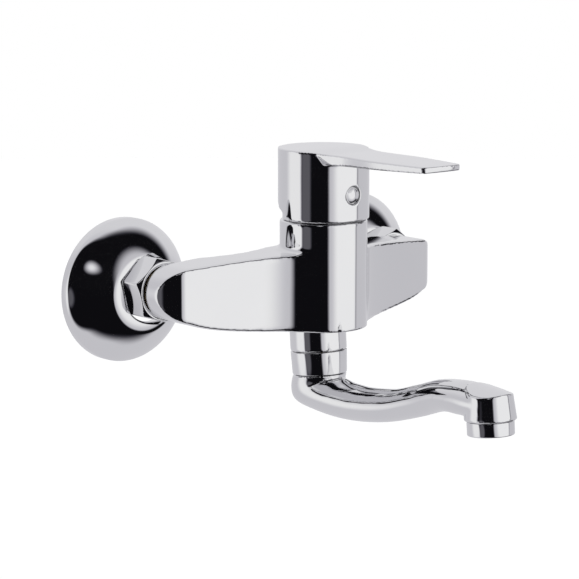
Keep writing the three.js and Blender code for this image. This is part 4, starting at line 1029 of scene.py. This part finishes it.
class MIXER_OT_stage(bpy.types.Operator):
    """Sets the camera, the pale floor far below the mixer, and the studio round it."""
    bl_idname = "mixer.stage"
    bl_label = "Stage"

    def execute(self, context):
        azimuth, height = math.radians(CAMERA_AZIMUTH), math.radians(CAMERA_HEIGHT)
        forward = Vector((math.sin(azimuth) * math.cos(height),
                          math.cos(azimuth) * math.cos(height), -math.sin(height)))
        data = bpy.data.cameras.new("camera")
        data.lens, data.sensor_width = CAMERA_LENS, SENSOR_WIDTH
        data.clip_start, data.clip_end = 0.05, 50.0
        camera = bpy.data.objects.new("camera", data)
        context.scene.collection.objects.link(camera)
        camera.location = CAMERA_PLACE
        camera.rotation_euler = forward.to_track_quat("-Z", "Y").to_euler()
        context.scene.camera = camera
        bm = bmesh.new()
        bmesh.ops.create_circle(bm, cap_ends=True, segments=96, radius=FLOOR_RADIUS)
        bmesh.ops.translate(bm, vec=(0, 0, FLOOR_LEVEL), verts=bm.verts)
        floor = solid(bm, "floor")
        material, add, shade = start_material("pale_floor")
        rays = add("ShaderNodeLightPath").outputs
        shade({"Base Color": (1.0, 1.0, 1.0, 1.0), "Roughness": 1.0, "Specular IOR Level": 0.0,
               "Emission Color": (1.0, 1.0, 1.0, 1.0),
               "Emission Strength": maths(add, "MULTIPLY", rays["Is Camera Ray"], FLOOR_GLOW)})
        floor.data.materials.append(material)
        floor.visible_glossy = False
        studio_world()
        context.scene.view_settings.view_transform = "Standard"
        return {"FINISHED"}


class MIXER_PT_panel(bpy.types.Panel):
    """Shows the mixer's sizes, its colours and a button for each piece."""
    bl_idname = "MIXER_PT_panel"
    bl_label = "Sink Mixer"
    bl_space_type = "VIEW_3D"
    bl_region_type = "UI"
    bl_category = "Sink Mixer"

    def draw(self, context):
        for name, group in SETTINGS.items():
            for prop in group.__annotations__:
                self.layout.prop(getattr(context.scene, name), prop)
        for operator in OPERATORS:
            self.layout.operator(operator.bl_idname)


OPERATORS = (
    MIXER_OT_stage, MIXER_OT_inner_pieces, MIXER_OT_body, MIXER_OT_cap_ring, MIXER_OT_lever,
    MIXER_OT_indicator_plug, MIXER_OT_spout_nut, MIXER_OT_spout, MIXER_OT_aerator_housing,
    MIXER_OT_union_nuts, MIXER_OT_eccentric_unions, MIXER_OT_wall_flanges,
)


def register():
    for group in SETTINGS.values():
        bpy.utils.register_class(group)
    for name, group in SETTINGS.items():
        setattr(bpy.types.Scene, name, PointerProperty(type=group))
    for operator in OPERATORS:
        bpy.utils.register_class(operator)
    bpy.utils.register_class(MIXER_PT_panel)


def unregister():
    bpy.utils.unregister_class(MIXER_PT_panel)
    for operator in reversed(OPERATORS):
        bpy.utils.unregister_class(operator)
    for name in SETTINGS:
        delattr(bpy.types.Scene, name)
    for group in SETTINGS.values():
        bpy.utils.unregister_class(group)


def main():
    register()
    FINISHES.update(make_finishes())
    for operator in OPERATORS:
        space, name = operator.bl_idname.split(".")
        getattr(getattr(bpy.ops, space), name)()


if __name__ == "__main__":
    main()
